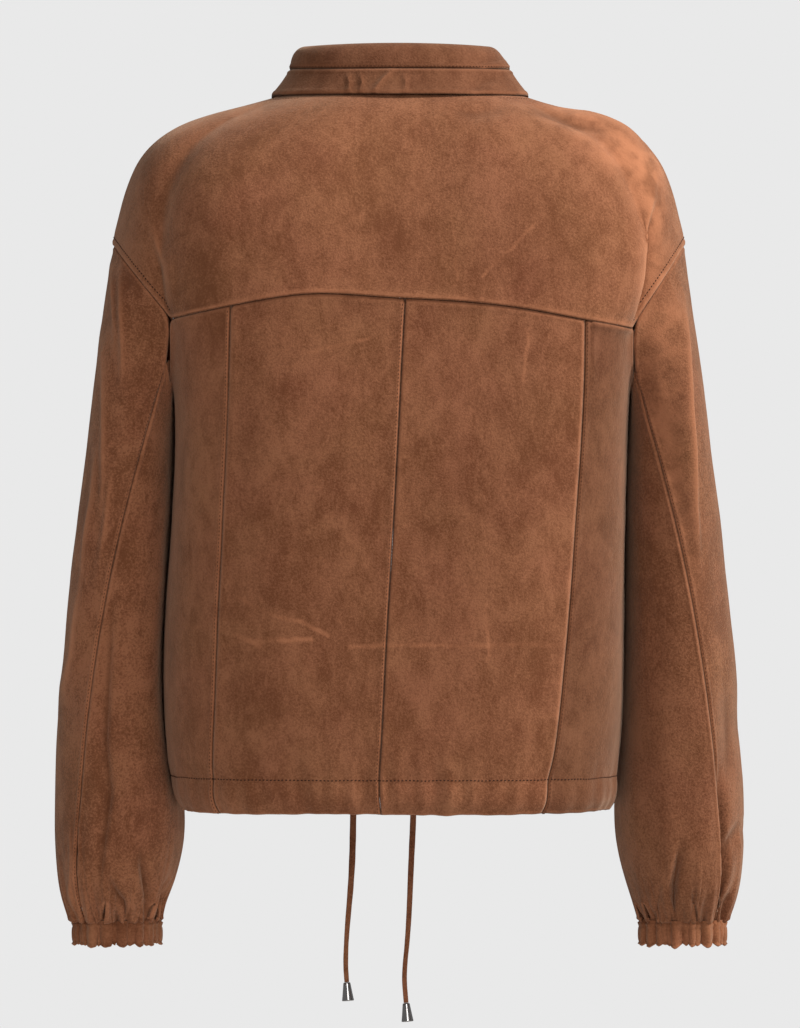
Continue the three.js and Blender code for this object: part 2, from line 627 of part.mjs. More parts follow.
function sleevePoint(side, angle, z) {
  const top = sleeveTop(side, angle);
  const p = sleeveSection(side, angle, z);
  const pull = clamp01(1 - (top.z - z) / 95) ** 2;
  p.add(top.clone().sub(sleeveSection(side, angle, top.z)).multiplyScalar(pull));
  const away = p.clone().sub(sleeveAxis(side)(p)).normalize();
  const facingBody = smooth((Math.abs(angle) - 100) / 30) * (z > HEM_Z - 10 ? 1 : 0);
  return p.addScaledVector(away, (gatherDepth(angle, z) + foldHeight(angle, z)) * (1 - facingBody));
}

const sleeveAxis = (side) => (p) => {
  const middle = (sleeveOuter(side, p.z) + along(SLEEVE, p.z, "inner")) / 2;
  return v3(side * middle, -along(SLEEVE, p.z, "forward"), p.z);
};

// Rows down a sleeve: the share of its length, and the angle from one column to the next.
const SLEEVE_ROWS = [
  { share: 0, step: 7.5 },
  { share: 0.05, step: 7.5 },
  { share: 0.13, step: 10 },
  { share: 0.26, step: 10 },
  { share: 0.42, step: 10 },
  { share: 0.58, step: 10 },
  { share: 0.72, step: 10 },
  { share: 0.82, step: 7.5 },
  { share: 0.89, step: 5 },
  { share: 0.95, step: 5 },
  { share: 1, step: 5 },
];

// Angles from one edge to another, at whole steps between them.
function columns(from, to, step) {
  const inner = [];
  for (let k = Math.ceil(from / step + 0.35); k * step < to - 0.35 * step; k += 1) inner.push(k * step);
  return [from, ...inner, to];
}

// One piece of a sleeve between two seams, each given as an angle at a height.
function sleevePiece(side, edgeA, edgeB) {
  const rows = SLEEVE_ROWS.map(({ share, step }) => {
    const guess = mix(YOKE_LINE, CUFF_TOP_Z, share);
    return columns(edgeA(guess), edgeB(guess), step).map((angle) => {
      const top = sleeveTop(side, angle).z;
      return sleevePoint(side, angle, mix(top, CUFF_TOP_Z, share));
    });
  });
  return clothWall(rows, { centre: sleeveAxis(side) });
}

const backSleeveSeam = (z) => along(SLEEVE_SEAM, Math.max(z, CUFF_TOP_Z), "angle");

// The cuff is gathered by its elastic, in step with the sleeve above it.
function cuff(side) {
  const count = GATHERS * 4;
  const rows = steps(2).map((f) =>
    Array.from({ length: count }, (_, k) => {
      const angle = (360 * k) / count;
      const ripple = Math.cos(angle * RAD * GATHERS);
      const p = sleeveSection(side, angle, mix(CUFF_TOP_Z - SEAM_GAP, CUFF_BOTTOM_Z, f));
      const away = p.clone().sub(sleeveAxis(side)(p)).normalize();
      const belly = CUFF_RIPPLE.belly * Math.sin(Math.PI * f) - CUFF_RIPPLE.inset;
      const lower = f === 1 ? CUFF_RIPPLE.down * ripple : 0;
      return p.addScaledVector(away, belly + CUFF_RIPPLE.out * ripple).add(v3(0, 0, -lower));
    }),
  );
  return clothWall(rows, { loop: true, wall: () => CUFF_RIPPLE.wall, centre: sleeveAxis(side) });
}

// Zip

// Its line on the outside of the fronts, from the hem to the top of the collar band.
function openingPoint(z, x = 0) {
  if (z < YOKE_LINE) {
    const across = openingX(z) + x;
    return bodyPoint(angleAtX(across, z, true), z);
  }
  const neck = neckRing(NECK, 180);
  if (z < neck.z) {
    let low = 0;
    let high = 1;
    for (let k = 0; k < 30; k += 1) {
      const half = (low + high) / 2;
      if (shoulderPoint(1, 180, half).z > z) low = half;
      else high = half;
    }
    const p = shoulderPoint(1, 180, high);
    return v3(x, p.y, z);
  }
  const foot = neckRing(COLLAR_FOOT, 180);
  const seam = neckRing(COLLAR_SEAM, 180);
  return v3(x, mix(foot.y, seam.y, clamp01((z - foot.z) / (seam.z - foot.z))), z);
}

const ZIP_TOP = neckRing(COLLAR_SEAM, 180).z - 2;
const SLIDER_Z = ZIP_TOP - SLIDER.below;
const CHAIN_TOP = SLIDER_Z - SLIDER.length / 2 - SEAM_GAP;
const COLLAR_STARTS = -100; // along the zip
const CHEST_LEVELS = [-210, YOKE_LINE, -150, -122, -98, -84, -74];
const ZIP_LEVELS = [HEM_Z + 1.5, ...BODY_LEVELS.slice(1), ...CHEST_LEVELS];
const zipLevels = (top) => ZIP_LEVELS.filter((z) => z < top - 4).concat(top);

// The tapes lie behind the cloth, which is thicker at the casing and the collar.
function behindCloth(z) {
  if (z < HEM_Z + CASING + 6) return TAPE.spare + CASING_WALL;
  return TAPE.spare + (z > COLLAR_STARTS ? COLLAR_WALL + 0.6 : CLOTH);
}

// A strip that follows the zip's line, from one distance beside it to another, and so far behind the cloth.
function zipStrip(from, to, top, wall, behind) {
  const rows = zipLevels(top).map((z) =>
    steps(1).map((f) => {
      const line = openingPoint(z + 2, 0).sub(openingPoint(z - 2, 0));
      const inwards = v3(0, line.z, -line.y).normalize();
      return openingPoint(z, mix(from, to, f)).addScaledVector(inwards, behind(z));
    }),
  );
  return clothWall(rows, { wall: () => wall, gap: 0, centre: bodyAxis });
}

// The slider's own frame: x across, y out of the cloth, z along the zip.
function placeOnZip(mesh) {
  const here = openingPoint(SLIDER_Z);
  const line = openingPoint(SLIDER_Z + 3).sub(openingPoint(SLIDER_Z - 3));
  mesh.position.copy(here);
  mesh.rotation.x = -Math.atan2(line.y, line.z);
  return mesh;
}

const box = (w, d, h, x, y, z) => toSolid(new THREE.BoxGeometry(w, d, h).translate(x, y, z));

const rod = (radius, length) => new THREE.CylinderGeometry(radius, radius, length, 16).rotateZ(Math.PI / 2);

const PIVOT_OUT = SLIDER.off + SLIDER.thick + PULL.rim + 0.4;

function zipSlider() {
  const plate = box(SLIDER.width, SLIDER.thick, SLIDER.length, 0, -SLIDER.off - SLIDER.thick / 2, 0);
  const lug = (side) => {
    const from = SLIDER.off + 0.2;
    const to = PIVOT_OUT + SLIDER.pin + 0.6;
    const x = side * (PULL.width / 2 + SEAM_GAP + SLIDER.cheek / 2);
    return box(SLIDER.cheek, to - from, SLIDER.lug, x, -(from + to) / 2, SLIDER.pinUp);
  };
  const pin = toSolid(rod(SLIDER.pin, PULL.width + 1.5)).translate([0, -PIVOT_OUT, SLIDER.pinUp]);
  return toGeometry(plate.add(lug(1)).add(lug(-1)).add(pin));
}

function zipPull() {
  const blade = box(PULL.width - 1, PULL.thick, PULL.length, 0, 0, -PULL.length / 2 - PULL.eye);
  const sleeve = toSolid(rod(PULL.rim, PULL.width - 1));
  const bore = toSolid(rod(PULL.eye, PULL.width + 4));
  return toGeometry(blade.add(sleeve).subtract(bore)).translate(0, -PIVOT_OUT, SLIDER.pinUp);
}

// Drawcord

// Where an eyelet sits on the hem, and the way out of the cloth there.
function eyeletPlace(side) {
  const x = openingX(EYELET.z) + side * CORD.spread;
  const angle = angleAtX(x, EYELET.z, true);
  const at = bodyPoint(angle, EYELET.z);
  const across = bodyPoint(angle + 0.6, EYELET.z).sub(bodyPoint(angle - 0.6, EYELET.z));
  const out = v3(across.y, -across.x, 0).normalize();
  if (out.dot(at) < 0) out.negate();
  return { at, out };
}

function eyelet(side) {
  const { at, out } = eyeletPlace(side);
  const profile = [
    [EYELET.hole, -EYELET.depth],
    [EYELET.barrel, -EYELET.depth],
    [EYELET.barrel, SEAM_GAP],
    [EYELET.flange, SEAM_GAP],
    [EYELET.flange - 0.4, SEAM_GAP + EYELET.lip * 0.7],
    [EYELET.flange - 1.4, SEAM_GAP + EYELET.lip],
    [EYELET.hole + 0.6, SEAM_GAP + EYELET.lip],
    [EYELET.hole, SEAM_GAP + EYELET.lip * 0.6],
    [EYELET.hole, -EYELET.depth],
  ];
  const geometry = new THREE.LatheGeometry(profile.map(([r, h]) => new THREE.Vector2(r, h)), 14);
  return onAxis(geometry, at, out);
}

// Turns a shape that stands on +Y to stand at a place along a direction.
function onAxis(geometry, at, direction) {
  const turn = new THREE.Quaternion().setFromUnitVectors(v3(0, 1, 0), direction);
  return geometry.applyQuaternion(turn).translate(at.x, at.y, at.z);
}

function cutForEyelet(geometry, side) {
  const { at, out } = eyeletPlace(side);
  const hole = onAxis(new THREE.CylinderGeometry(EYELET.cut, EYELET.cut, 24, 14), at, out);
  return toGeometry(toSolid(geometry).subtract(toSolid(hole)));
}

function cordCurve(side) {
  const { at } = eyeletPlace(side);
  const route = CORD_ROUTES[side > 0 ? "left" : "right"];
  return new THREE.CatmullRomCurve3(route.map(([x, out, z]) => v3(at.x + x, at.y - out, at.z + z)));
}

function cord(side) {
  const outline = new THREE.Shape();
  for (let k = 0; k < CORD.sides; k += 1) {
    const turn = (2 * Math.PI * k) / CORD.sides;
    const [x, y] = [(CORD.thick / 2) * Math.cos(turn), (CORD.width / 2) * Math.sin(turn)];
    if (k === 0) outline.moveTo(x, y);
    else outline.lineTo(x, y);
  }
  return new THREE.ExtrudeGeometry(outline, {
    steps: CORD.steps,
    bevelEnabled: false,
    extrudePath: cordCurve(side),
  });
}

// A small metal bell, hollow from below, that hangs from the cord's end.
function cordTip(side) {
  const curve = cordCurve(side);
  const end = curve.getPoint(1);
  const down = curve.getTangent(1);
  const { top, bottom, height, wall } = CORD_TIP;
  const profile = [
    [0, 0], [top - 0.5, 0], [top, 0.5], [bottom, height - 0.4], [bottom - 0.3, height],
    [bottom - wall, height - 0.2], [top - wall * 0.6, 3], [0, 3],
  ];
  const points = profile.map(([r, h]) => new THREE.Vector2(r, -h)).reverse();
  const geometry = new THREE.LatheGeometry(points, 14);
  return onAxis(geometry, end.addScaledVector(down, SEAM_GAP), down.negate());
}

// The jacket

const jacket = new THREE.Group();

function addPiece(name, geometry, material) {
  const mesh = new THREE.Mesh(geometry, material);
  mesh.name = name;
  jacket.add(mesh);
  return mesh;
}

addPiece("yoke", yoke(), SUEDE);
addPiece("back_side_left", backPanel(sideEdge(1), seamEdge("left"), CELLS.side), SUEDE);
addPiece("back_centre_left", backPanel(seamEdge("left"), seamEdge("centre"), CELLS.centre), SUEDE);
addPiece("back_centre_right", backPanel(seamEdge("centre"), seamEdge("right"), CELLS.centre), SUEDE);
addPiece("back_side_right", backPanel(seamEdge("right"), sideEdge(-1), CELLS.side), SUEDE);
addPiece("collar_band", collarBand(), SUEDE);
addPiece("collar_roll", collarRoll(), SUEDE);

for (const [name, side] of [["left", 1], ["right", -1]]) {
  addPiece(`front_${name}`, cutForEyelet(frontPanel(side), side), SUEDE);
  addPiece(`sleeve_upper_${name}`, sleevePiece(side, () => FRONT_SLEEVE_SEAM, backSleeveSeam), SUEDE);
  addPiece(`sleeve_under_${name}`, sleevePiece(side, backSleeveSeam, () => FRONT_SLEEVE_SEAM + 360), SUEDE);
  addPiece(`cuff_${name}`, cuff(side), SUEDE);
  const tape = side > 0 ? [TAPE.inner, TAPE.outer] : [-TAPE.outer, -TAPE.inner];
  addPiece(`zip_tape_${name}`, zipStrip(...tape, ZIP_TOP, TAPE.wall, behindCloth), TAPE_CLOTH);
  addPiece(`eyelet_${name}`, eyelet(side), METAL);
  addPiece(`cord_${name}`, cord(side), SUEDE);
  addPiece(`cord_tip_${name}`, cordTip(side), METAL);
}

addPiece("zip_chain", zipStrip(-CHAIN.half, CHAIN.half, CHAIN_TOP, CHAIN.wall, () => CHAIN.behind), METAL);
placeOnZip(addPiece("zip_slider", zipSlider(), METAL));
placeOnZip(addPiece("zip_pull", zipPull(), METAL));

export default jacket;
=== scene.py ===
# %% [markdown]
# A suede blouson, seen from behind, filled out as it is worn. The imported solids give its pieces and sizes.
# This lesson dresses them: the cloth gets its creases and its nap, the seams get thread, the zip gets teeth
# and the drawcord gets two flat laces. First the solids are loaded, and the box that they fill is kept.

# %% Load the solids
import math

import bmesh
import bpy
import numpy as np
from mathutils import Matrix, Vector, kdtree, noise
from mathutils.bvhtree import BVHTree


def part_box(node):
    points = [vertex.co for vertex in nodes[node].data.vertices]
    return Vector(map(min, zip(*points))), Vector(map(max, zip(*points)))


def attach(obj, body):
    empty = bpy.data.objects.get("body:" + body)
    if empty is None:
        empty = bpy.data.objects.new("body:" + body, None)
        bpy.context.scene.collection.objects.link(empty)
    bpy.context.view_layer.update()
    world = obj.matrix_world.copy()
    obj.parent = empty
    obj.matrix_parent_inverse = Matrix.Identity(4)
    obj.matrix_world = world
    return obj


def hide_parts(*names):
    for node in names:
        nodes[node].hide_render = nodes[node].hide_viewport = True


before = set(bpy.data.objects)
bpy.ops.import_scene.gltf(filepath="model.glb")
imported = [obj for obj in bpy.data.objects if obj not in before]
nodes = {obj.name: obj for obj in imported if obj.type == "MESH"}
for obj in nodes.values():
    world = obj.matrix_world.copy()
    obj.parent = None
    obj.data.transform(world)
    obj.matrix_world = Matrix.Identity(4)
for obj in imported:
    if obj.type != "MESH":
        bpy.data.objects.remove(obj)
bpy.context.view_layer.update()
MM = 0.001


def new_object(name, data):
    made = bpy.data.objects.new(name, data)
    bpy.context.scene.collection.objects.link(made)
    return made


# %% [markdown]
# The photograph was taken from a few metres behind the back, at chest height, with a long lens. A narrow
# field of view keeps the sides as straight as they are there. Shift and depth of field aren't needed.

# %% Camera
EYE = Vector((0, 5.0, -0.3336))
PICTURE_WIDTH = 0.64  # what the picture takes in, at the middle of the jacket
SENSOR = 36

camera_data = bpy.data.cameras.new("photo_camera")
camera_data.sensor_fit = "HORIZONTAL"
camera_data.sensor_width = SENSOR
camera_data.lens = SENSOR * EYE.y / PICTURE_WIDTH
camera = new_object("photo_camera", camera_data)
camera.location = EYE
camera.rotation_euler = (math.radians(90), 0, math.radians(180))
bpy.context.scene.camera = camera
print("lens:", round(camera_data.lens, 1), "mm")

# %% [markdown]
# Two flat laces hang from the eyelets at the hem and end in metal tips. Their routes repeat the solids' own
# points. A curve could carry a flat profile, but it would turn as the curve bends, so each lace is built
# ring by ring: a rounded strip that twists a little on its way down, as a cut strip of suede does.

# %% The laces' routes
LACE = {"declared": 4.6, "thick": 1.6, "rings": 170, "sides": 16}
ROUNDED = {"wide": 0.45, "deep": 0.75}  # powers that flatten a circle's sides into a strip's, 1 being round
WAVER = {"share": 0.05, "step": 0.09, "place": {"left": 7.0, "right": 3.0}}  # how uneven the strip was cut
EYELET_PLACES = {"left": (38.3, -112.8, -556), "right": (-11, -112.8, -556)}
# Points of each hanging end, from its eyelet: sideways, outwards from the hem, and down.
LACE_ROUTES = {
    "left": [
        (0, -3, 0), (0, 2, 0), (0, 5.4, -0.6), (0, 7.5, -3), (0, 8.2, -7), (0, 8.2, -13), (0, 7.6, -22),
        (0.2, 6.8, -35), (0.5, 6.2, -50), (1.1, 6, -66), (2.2, 6.2, -84), (3.7, 6.6, -102),
        (5, 6.9, -118), (5.9, 7, -134), (6.1, 6.9, -148), (5.3, 6.8, -161),
    ],
    "right": [
        (0, -3, 0), (0, 2, 0), (0, 5.4, -0.6), (0, 7.5, -3), (0, 8.2, -7), (0, 8.2, -13), (0.1, 7.8, -22),
        (0.5, 7.2, -35), (1.3, 6.7, -52), (2.2, 6.4, -72), (3, 6.4, -92), (4, 6.6, -112),
        (5.3, 6.9, -130), (6.8, 7.1, -146), (7.3, 7.1, -160), (6, 7, -178),
    ],
}
# At even steps down each lace: how wide it is, and how far it has turned, in degrees.
LACE_WIDTHS = {"left": (5.2, 5.2, 5.3, 4.8, 4.3, 4.0), "right": (5.0, 5.0, 4.9, 4.5, 4.4, 4.0)}
LACE_TURNS = {"left": (0, 4, -6, -20, -34, -14), "right": (0, 5, -8, -16, -38, -10)}


def smooth_line(points, count):
    """Points at even steps along a smooth line through the given ones, in metres."""
    p = np.array(points, float) * MM
    p = np.vstack([2 * p[0] - p[1], p, 2 * p[-1] - p[-2]])
    fine = []
    for a, b, c, d in zip(p, p[1:], p[2:], p[3:]):
        square = 2 * a - 5 * b + 4 * c - d
        cube = 3 * b - a - 3 * c + d
        for t in np.linspace(0, 1, 24, endpoint=False):
            fine.append(0.5 * (2 * b + (c - a) * t + square * t**2 + cube * t**3))
    fine = np.array(fine + [p[-2]])
    run = np.concatenate([[0], np.cumsum(np.linalg.norm(np.diff(fine, axis=0), axis=1))])
    return np.stack([np.interp(np.linspace(0, run[-1], count), run, fine[:, k]) for k in range(3)], axis=1)


def smooth_object(name, bm, sharp):
    """An object with its faces outwards, smooth but for edges sharper than an angle in degrees."""
    bmesh.ops.recalc_face_normals(bm, faces=bm.faces)
    mesh = bpy.data.meshes.new(name)
    bm.to_mesh(mesh)
    bm.free()
    mesh.shade_smooth()
    mesh.set_sharp_from_angle(angle=math.radians(sharp))
    return new_object(name, mesh)


def bulge(value, power):
    return math.copysign(abs(value) ** power, value)


def lace(side):
    """One flat lace, with its line kept for measuring."""
    x, y, z = EYELET_PLACES[side]
    route = [(x + aside, y - out, z + down) for aside, out, down in LACE_ROUTES[side]]
    line = smooth_line(route, LACE["rings"])
    share = np.linspace(0, 1, len(line))
    twist = np.interp(share, np.linspace(0, 1, 6), LACE_TURNS[side])
    widths = np.interp(share, np.linspace(0, 1, 6), LACE_WIDTHS[side])
    tangents = np.gradient(line, axis=0)
    bm = bmesh.new()
    rings = []
    for k, (at, tangent) in enumerate(zip(line, tangents)):
        t = Vector(tangent).normalized()
        across = Matrix.Rotation(math.radians(twist[k]), 3, t) @ Vector((1, 0, 0))
        across = (across - t * across.dot(t)).normalized()
        out = across.cross(t)
        waver = 1 + WAVER["share"] * noise.noise(Vector((k * WAVER["step"], WAVER["place"][side], 0)))
        ring = []
        for j in range(LACE["sides"]):
            turn = 2 * math.pi * j / LACE["sides"]
            wide = bulge(math.cos(turn), ROUNDED["wide"]) * widths[k] / 2 * MM * waver
            deep = bulge(math.sin(turn), ROUNDED["deep"]) * LACE["thick"] / 2 * MM
            ring.append(bm.verts.new(Vector(at) + across * wide + out * deep))
        rings.append(ring)
    for a, b in zip(rings, rings[1:]):
        for j in range(LACE["sides"]):
            i = (j + 1) % LACE["sides"]
            bm.faces.new((a[j], a[i], b[i], b[j]))
    bm.faces.new(rings[0])
    bm.faces.new(rings[-1])
    length = float(np.linalg.norm(np.diff(line, axis=0), axis=1).sum())
    print(f"lace_{side}: {length / MM:.0f} mm long")
    return smooth_object(f"lace_{side}", bm, 55), line, length


laces = {side: lace(side) for side in LACE_ROUTES}

# %% [markdown]
# Each lace ends in a small polished bell of gunmetal, and it leaves the hem through an eyelet of the same
# metal. Both are turned shapes: a profile spun about a line. The solids have the same profiles with fewer
# sides.

# %% Tips and eyelets
# Profiles as radius and height, in millimetres.
TIP = [(0, 0), (2.2, 0), (2.75, 0.25), (2.95, 0.8), (3.3, 3.5), (4.2, 10), (4.8, 14), (4.9, 14.6),
       (4.7, 15), (4.3, 14.8), (2.5, 3), (0, 3)]
EYELET = [(2.8, -3.2), (3.2, -3.2), (3.2, 0.3), (5.5, 0.3), (5.8, 0.45), (5.75, 0.8), (5.2, 1.15),
          (4.4, 1.3), (3.5, 1.25), (3.0, 1.0), (2.8, 0.7), (2.8, -3.2)]
TIP_GAP = 0.3  # between the lace's end and its tip


def turned(name, profile, at, direction, sides=48):
    """A profile spun about a line that starts at a point in metres."""
    bm = bmesh.new()
    turn = Vector((0, 0, 1)).rotation_difference(Vector(direction).normalized()).to_matrix()
    rings = []
    for radius, height in profile:
        ring = []
        for k in range(sides if radius else 1):
            angle = 2 * math.pi * k / sides
            spot = Vector((radius * math.cos(angle), radius * math.sin(angle), height))
            ring.append(bm.verts.new(Vector(at) + turn @ spot * MM))
        rings.append(ring)
    for a, b in zip(rings, rings[1:]):
        for k in range(sides):
            corners = [a[k % len(a)], a[(k + 1) % len(a)], b[(k + 1) % len(b)], b[k % len(b)]]
            bm.faces.new(list(dict.fromkeys(corners)))
    bmesh.ops.remove_doubles(bm, verts=bm.verts, dist=1e-7)
    return smooth_object(name, bm, 50)


tips = {}
for side, (_, line, _) in laces.items():
    down = line[-1] - line[-4]
    start = line[-1] + down / np.linalg.norm(down) * TIP_GAP * MM
    tips[side] = turned(f"lace_tip_{side}", TIP, start, down)
eyelets = {}
for side, place in EYELET_PLACES.items():
    eyelets[side] = turned(f"hem_eyelet_{side}", EYELET, Vector(place) * MM, (0, -1, 0))
print("turned:", len(tips) + len(eyelets), "tips and eyelets")

# %% [markdown]
# The light is a large soft source high on the viewer's right, with a weaker one near the camera and an even
# pale surround. The surround that the camera sees is the photograph's flat pale grey. A pale floor lies far
# below.

# %% Light and floor
SURROUND = {"seen": 0.8148, "light": 0.27}
LIGHTS = {
    "key": {"at": (-2.75, 0.9, 2.3), "size": 1.1, "watts": 188, "colour": (1.0, 0.97, 0.93)},
    "fill": {"at": (-0.6, 4.2, 1.0), "size": 1.8, "watts": 58, "colour": (1.0, 0.98, 0.96)},
}
AIM = Vector((0, 0, -0.33))

world = bpy.data.worlds.new("studio")
bpy.context.scene.world = world
world.use_nodes = True
wires = world.node_tree
wires.nodes.clear()
output = wires.nodes.new("ShaderNodeOutputWorld")
blend = wires.nodes.new("ShaderNodeMixShader")
path = wires.nodes.new("ShaderNodeLightPath")
for k, level in enumerate((SURROUND["light"], SURROUND["seen"])):
    background = wires.nodes.new("ShaderNodeBackground")
    background.inputs["Color"].default_value = (level, level, level, 1)
    wires.links.new(background.outputs[0], blend.inputs[1 + k])
wires.links.new(path.outputs["Is Camera Ray"], blend.inputs[0])
wires.links.new(blend.outputs[0], output.inputs["Surface"])
bpy.context.scene.view_settings.view_transform = "Standard"

for name, light in LIGHTS.items():
    data = bpy.data.lights.new(name, "AREA")
    data.size = light["size"]
    data.energy = light["watts"]
    data.color = light["colour"]
    lamp = new_object(name, data)
    lamp.location = light["at"]
    lamp.rotation_euler = (AIM - lamp.location).to_track_quat("-Z", "Y").to_euler()

FLOOR_Z, FLOOR_REACH = -1.55, 3
corners = [(x * FLOOR_REACH, y * FLOOR_REACH, FLOOR_Z) for x, y in ((-1, -1), (1, -1), (1, 1), (-1, 1))]
floor_mesh = bpy.data.meshes.new("floor")
floor_mesh.from_pydata(corners, [], [(0, 1, 2, 3)])
floor = new_object("floor", floor_mesh)
print("lights:", list(LIGHTS))

# %% [markdown]
# Suede is the flesh side of a hide, buffed until short fibres stand up. Where a hand has brushed them they
# lie over and the patch looks lighter or darker, so the colour comes in cloudy patches, with streaks, under
# a fine grain. Several materials share this, so it is a node group. It puts out a colour, a height and a
# roughness, and the shader itself stays in each material.

# %% The nap as a node group
def wire(tree, kind, sockets=None, **settings):
    """Adds a node, sets its properties, and gives its inputs numbers or links."""
    made = tree.nodes.new(kind)
    for key, value in settings.items():
        setattr(made, key, value)
    for key, value in (sockets or {}).items():
        if isinstance(value, bpy.types.NodeSocket):
            tree.links.new(value, made.inputs[key])
        else:
            made.inputs[key].default_value = value
    return made


def first(tree, kind, sockets=None, **settings):
    """The first output of a new node."""
    return wire(tree, kind, sockets, **settings).outputs[0]


def calculate(tree, how, *values, clamp=False):
    return first(tree, "ShaderNodeMath", dict(enumerate(values)), operation=how, use_clamp=clamp)


def mixed(tree, share, one, other):
    """One colour turning into the other. A colour is a link or three numbers."""
    one, other = [(*c, 1) if isinstance(c, tuple) else c for c in (one, other)]
    return wire(tree, "ShaderNodeMix", {0: share, 6: one, 7: other}, data_type="RGBA").outputs[2]


def cloudy(tree, place, scale, detail=2.0, rough=0.5, distortion=0.0):
    """A noise in the place's own metres. Its first output is a number and its second a colour."""
    return wire(tree, "ShaderNodeTexNoise", {"Vector": place, "Scale": scale, "Detail": detail,
                                             "Roughness": rough, "Distortion": distortion}).outputs


def ramp(tree, value, start, end, low, high, **settings):
    """Runs from low to high while the value runs from start to end."""
    sockets = {0: value, 1: start, 2: end, 3: low, 4: high}
    return first(tree, "ShaderNodeMapRange", sockets, **settings)


def new_group(name, takes, gives, kind="ShaderNodeTree"):
    """A node group. An input is given as its default value, or as the kind of its socket."""
    tree = bpy.data.node_groups.new(name, kind)
    kinds = {float: "Float", tuple: "Color", Vector: "Vector"}
    for key, value in takes.items():
        socket_kind = kinds.get(type(value), value)
        socket = tree.interface.new_socket(key, in_out="INPUT", socket_type=f"NodeSocket{socket_kind}")
        if type(value) in kinds:
            socket.default_value = value
    for key, socket_kind in gives.items():
        tree.interface.new_socket(key, in_out="OUTPUT", socket_type=f"NodeSocket{socket_kind}")
    return tree, tree.nodes.new("NodeGroupInput").outputs, tree.nodes.new("NodeGroupOutput").inputs


# Clouds of the nap: scale per metre, detail, stretch, strength, distortion and roughness.
CLOUDS = {
    "broad": (9, 3, (1, 1, 0.8), 1.1, 0.5, 0.55),
    "patches": (30, 3, (1, 1, 0.7), 1.5, 0.9, 0.55),
    "streaks": (90, 3, (1.2, 1, 0.6), 1.2, 0.8, 0.55),
    "grain": (620, 3, (1, 1, 1), 2.0, 0, 0.7),
    "fibres": (1900, 2, (1, 1, 1), 0.7, 0, 0.6),
    "warmth": (17, 2, (1, 1, 1), 2.2, 0, 0.55),
}
NAP = {"hue": -0.005, "brushed_height": 0.25, "grain_gloss": 0.1, "roughness": 0.9}


def suede_nap_group():
    tree, given, result = new_group(
        "suede_nap",
        {"Place": Vector((0, 0, 0)), "Deep": (0.2, 0.08, 0.04, 1.0), "Pale": (0.3, 0.14, 0.08, 1.0),
         "Patches": 1.0, "Grain": 1.0},
        {"Color": "Color", "Height": "Float", "Roughness": "Float"},
    )

    def clouds(key):
        scale, detail, stretch, strength, distortion, rough = CLOUDS[key]
        placed = first(tree, "ShaderNodeMapping", {"Vector": given["Place"], "Scale": stretch})
        centred = calculate(tree, "SUBTRACT", cloudy(tree, placed, scale, detail, rough, distortion)[0], 0.5)
        return calculate(tree, "MULTIPLY", centred, strength)

    patches = calculate(tree, "ADD", clouds("broad"), clouds("patches"))
    brushed = calculate(tree, "ADD", patches, clouds("streaks"))
    brushed = calculate(tree, "MULTIPLY", brushed, given["Patches"])
    grain = calculate(tree, "ADD", clouds("grain"), clouds("fibres"))
    grain = calculate(tree, "MULTIPLY", grain, given["Grain"])
    share = calculate(tree, "ADD", calculate(tree, "ADD", brushed, grain), 0.5, clamp=True)
    colour = mixed(tree, share, given["Deep"], given["Pale"])
    hue = calculate(tree, "ADD", calculate(tree, "MULTIPLY", clouds("warmth"), NAP["hue"]), 0.5)
    height = calculate(tree, "MULTIPLY", brushed, NAP["brushed_height"])
    gloss = calculate(tree, "MULTIPLY", grain, NAP["grain_gloss"])
    tree.links.new(first(tree, "ShaderNodeHueSaturation", {"Color": colour, "Hue": hue}), result["Color"])
    tree.links.new(calculate(tree, "ADD", grain, height), result["Height"])
    tree.links.new(calculate(tree, "ADD", gloss, NAP["roughness"], clamp=True), result["Roughness"])
    return tree


SUEDE_NAP = suede_nap_group()
print("nap:", len(SUEDE_NAP.nodes), "nodes")

# %% [markdown]
# Along every seam the cloth is rubbed to a paler ridge, and the groove beside it gets a painted dark shade.
# The cloth carries a number, how far each point lies from its panel's edge, so one group can draw both on
# every panel. Long pale rub marks on the back, and wide painted highlights where the light falls on the
# shoulders and the right sleeve, are short lines between two points, each drawn by a second group by its
# distance from that line.

# %% Seam wear, painted groove shade, rub marks and painted highlights as node groups
# Distances from the edge in metres: where the pale ridge begins and ends, and how wide the groove's painted
# shade is.
RUB_AND_GROOVE_SHADE = {"rise": (0.0004, 0.0012), "fall": (0.0015, 0.0038), "groove": 0.0007}
MARK = {"bend": 0.006, "inwards": 0.2}  # how far it wavers, and how much nearer it counts in depth


def seam_wear_and_shade_group():
    tree, given, result = new_group(
        "seam_wear_and_shade", {"Place": Vector((0, 0, 0)), "Edge": 0.0}, {"Ridge": "Float", "GrooveShade": "Float"})
    uneven = ramp(tree, cloudy(tree, given["Place"], 70, 3)[0], 0.35, 0.65, 0.45, 1)
    rise = ramp(tree, given["Edge"], *RUB_AND_GROOVE_SHADE["rise"], 0, 1)
    fall = ramp(tree, given["Edge"], *RUB_AND_GROOVE_SHADE["fall"], 1, 0)
    ridge = calculate(tree, "MULTIPLY", rise, fall)
    tree.links.new(calculate(tree, "MULTIPLY", ridge, uneven), result["Ridge"])
    # Painted shade in the groove along the edge.
    tree.links.new(ramp(tree, given["Edge"], 0, RUB_AND_GROOVE_SHADE["groove"], 1, 0), result["GrooveShade"])
    return tree


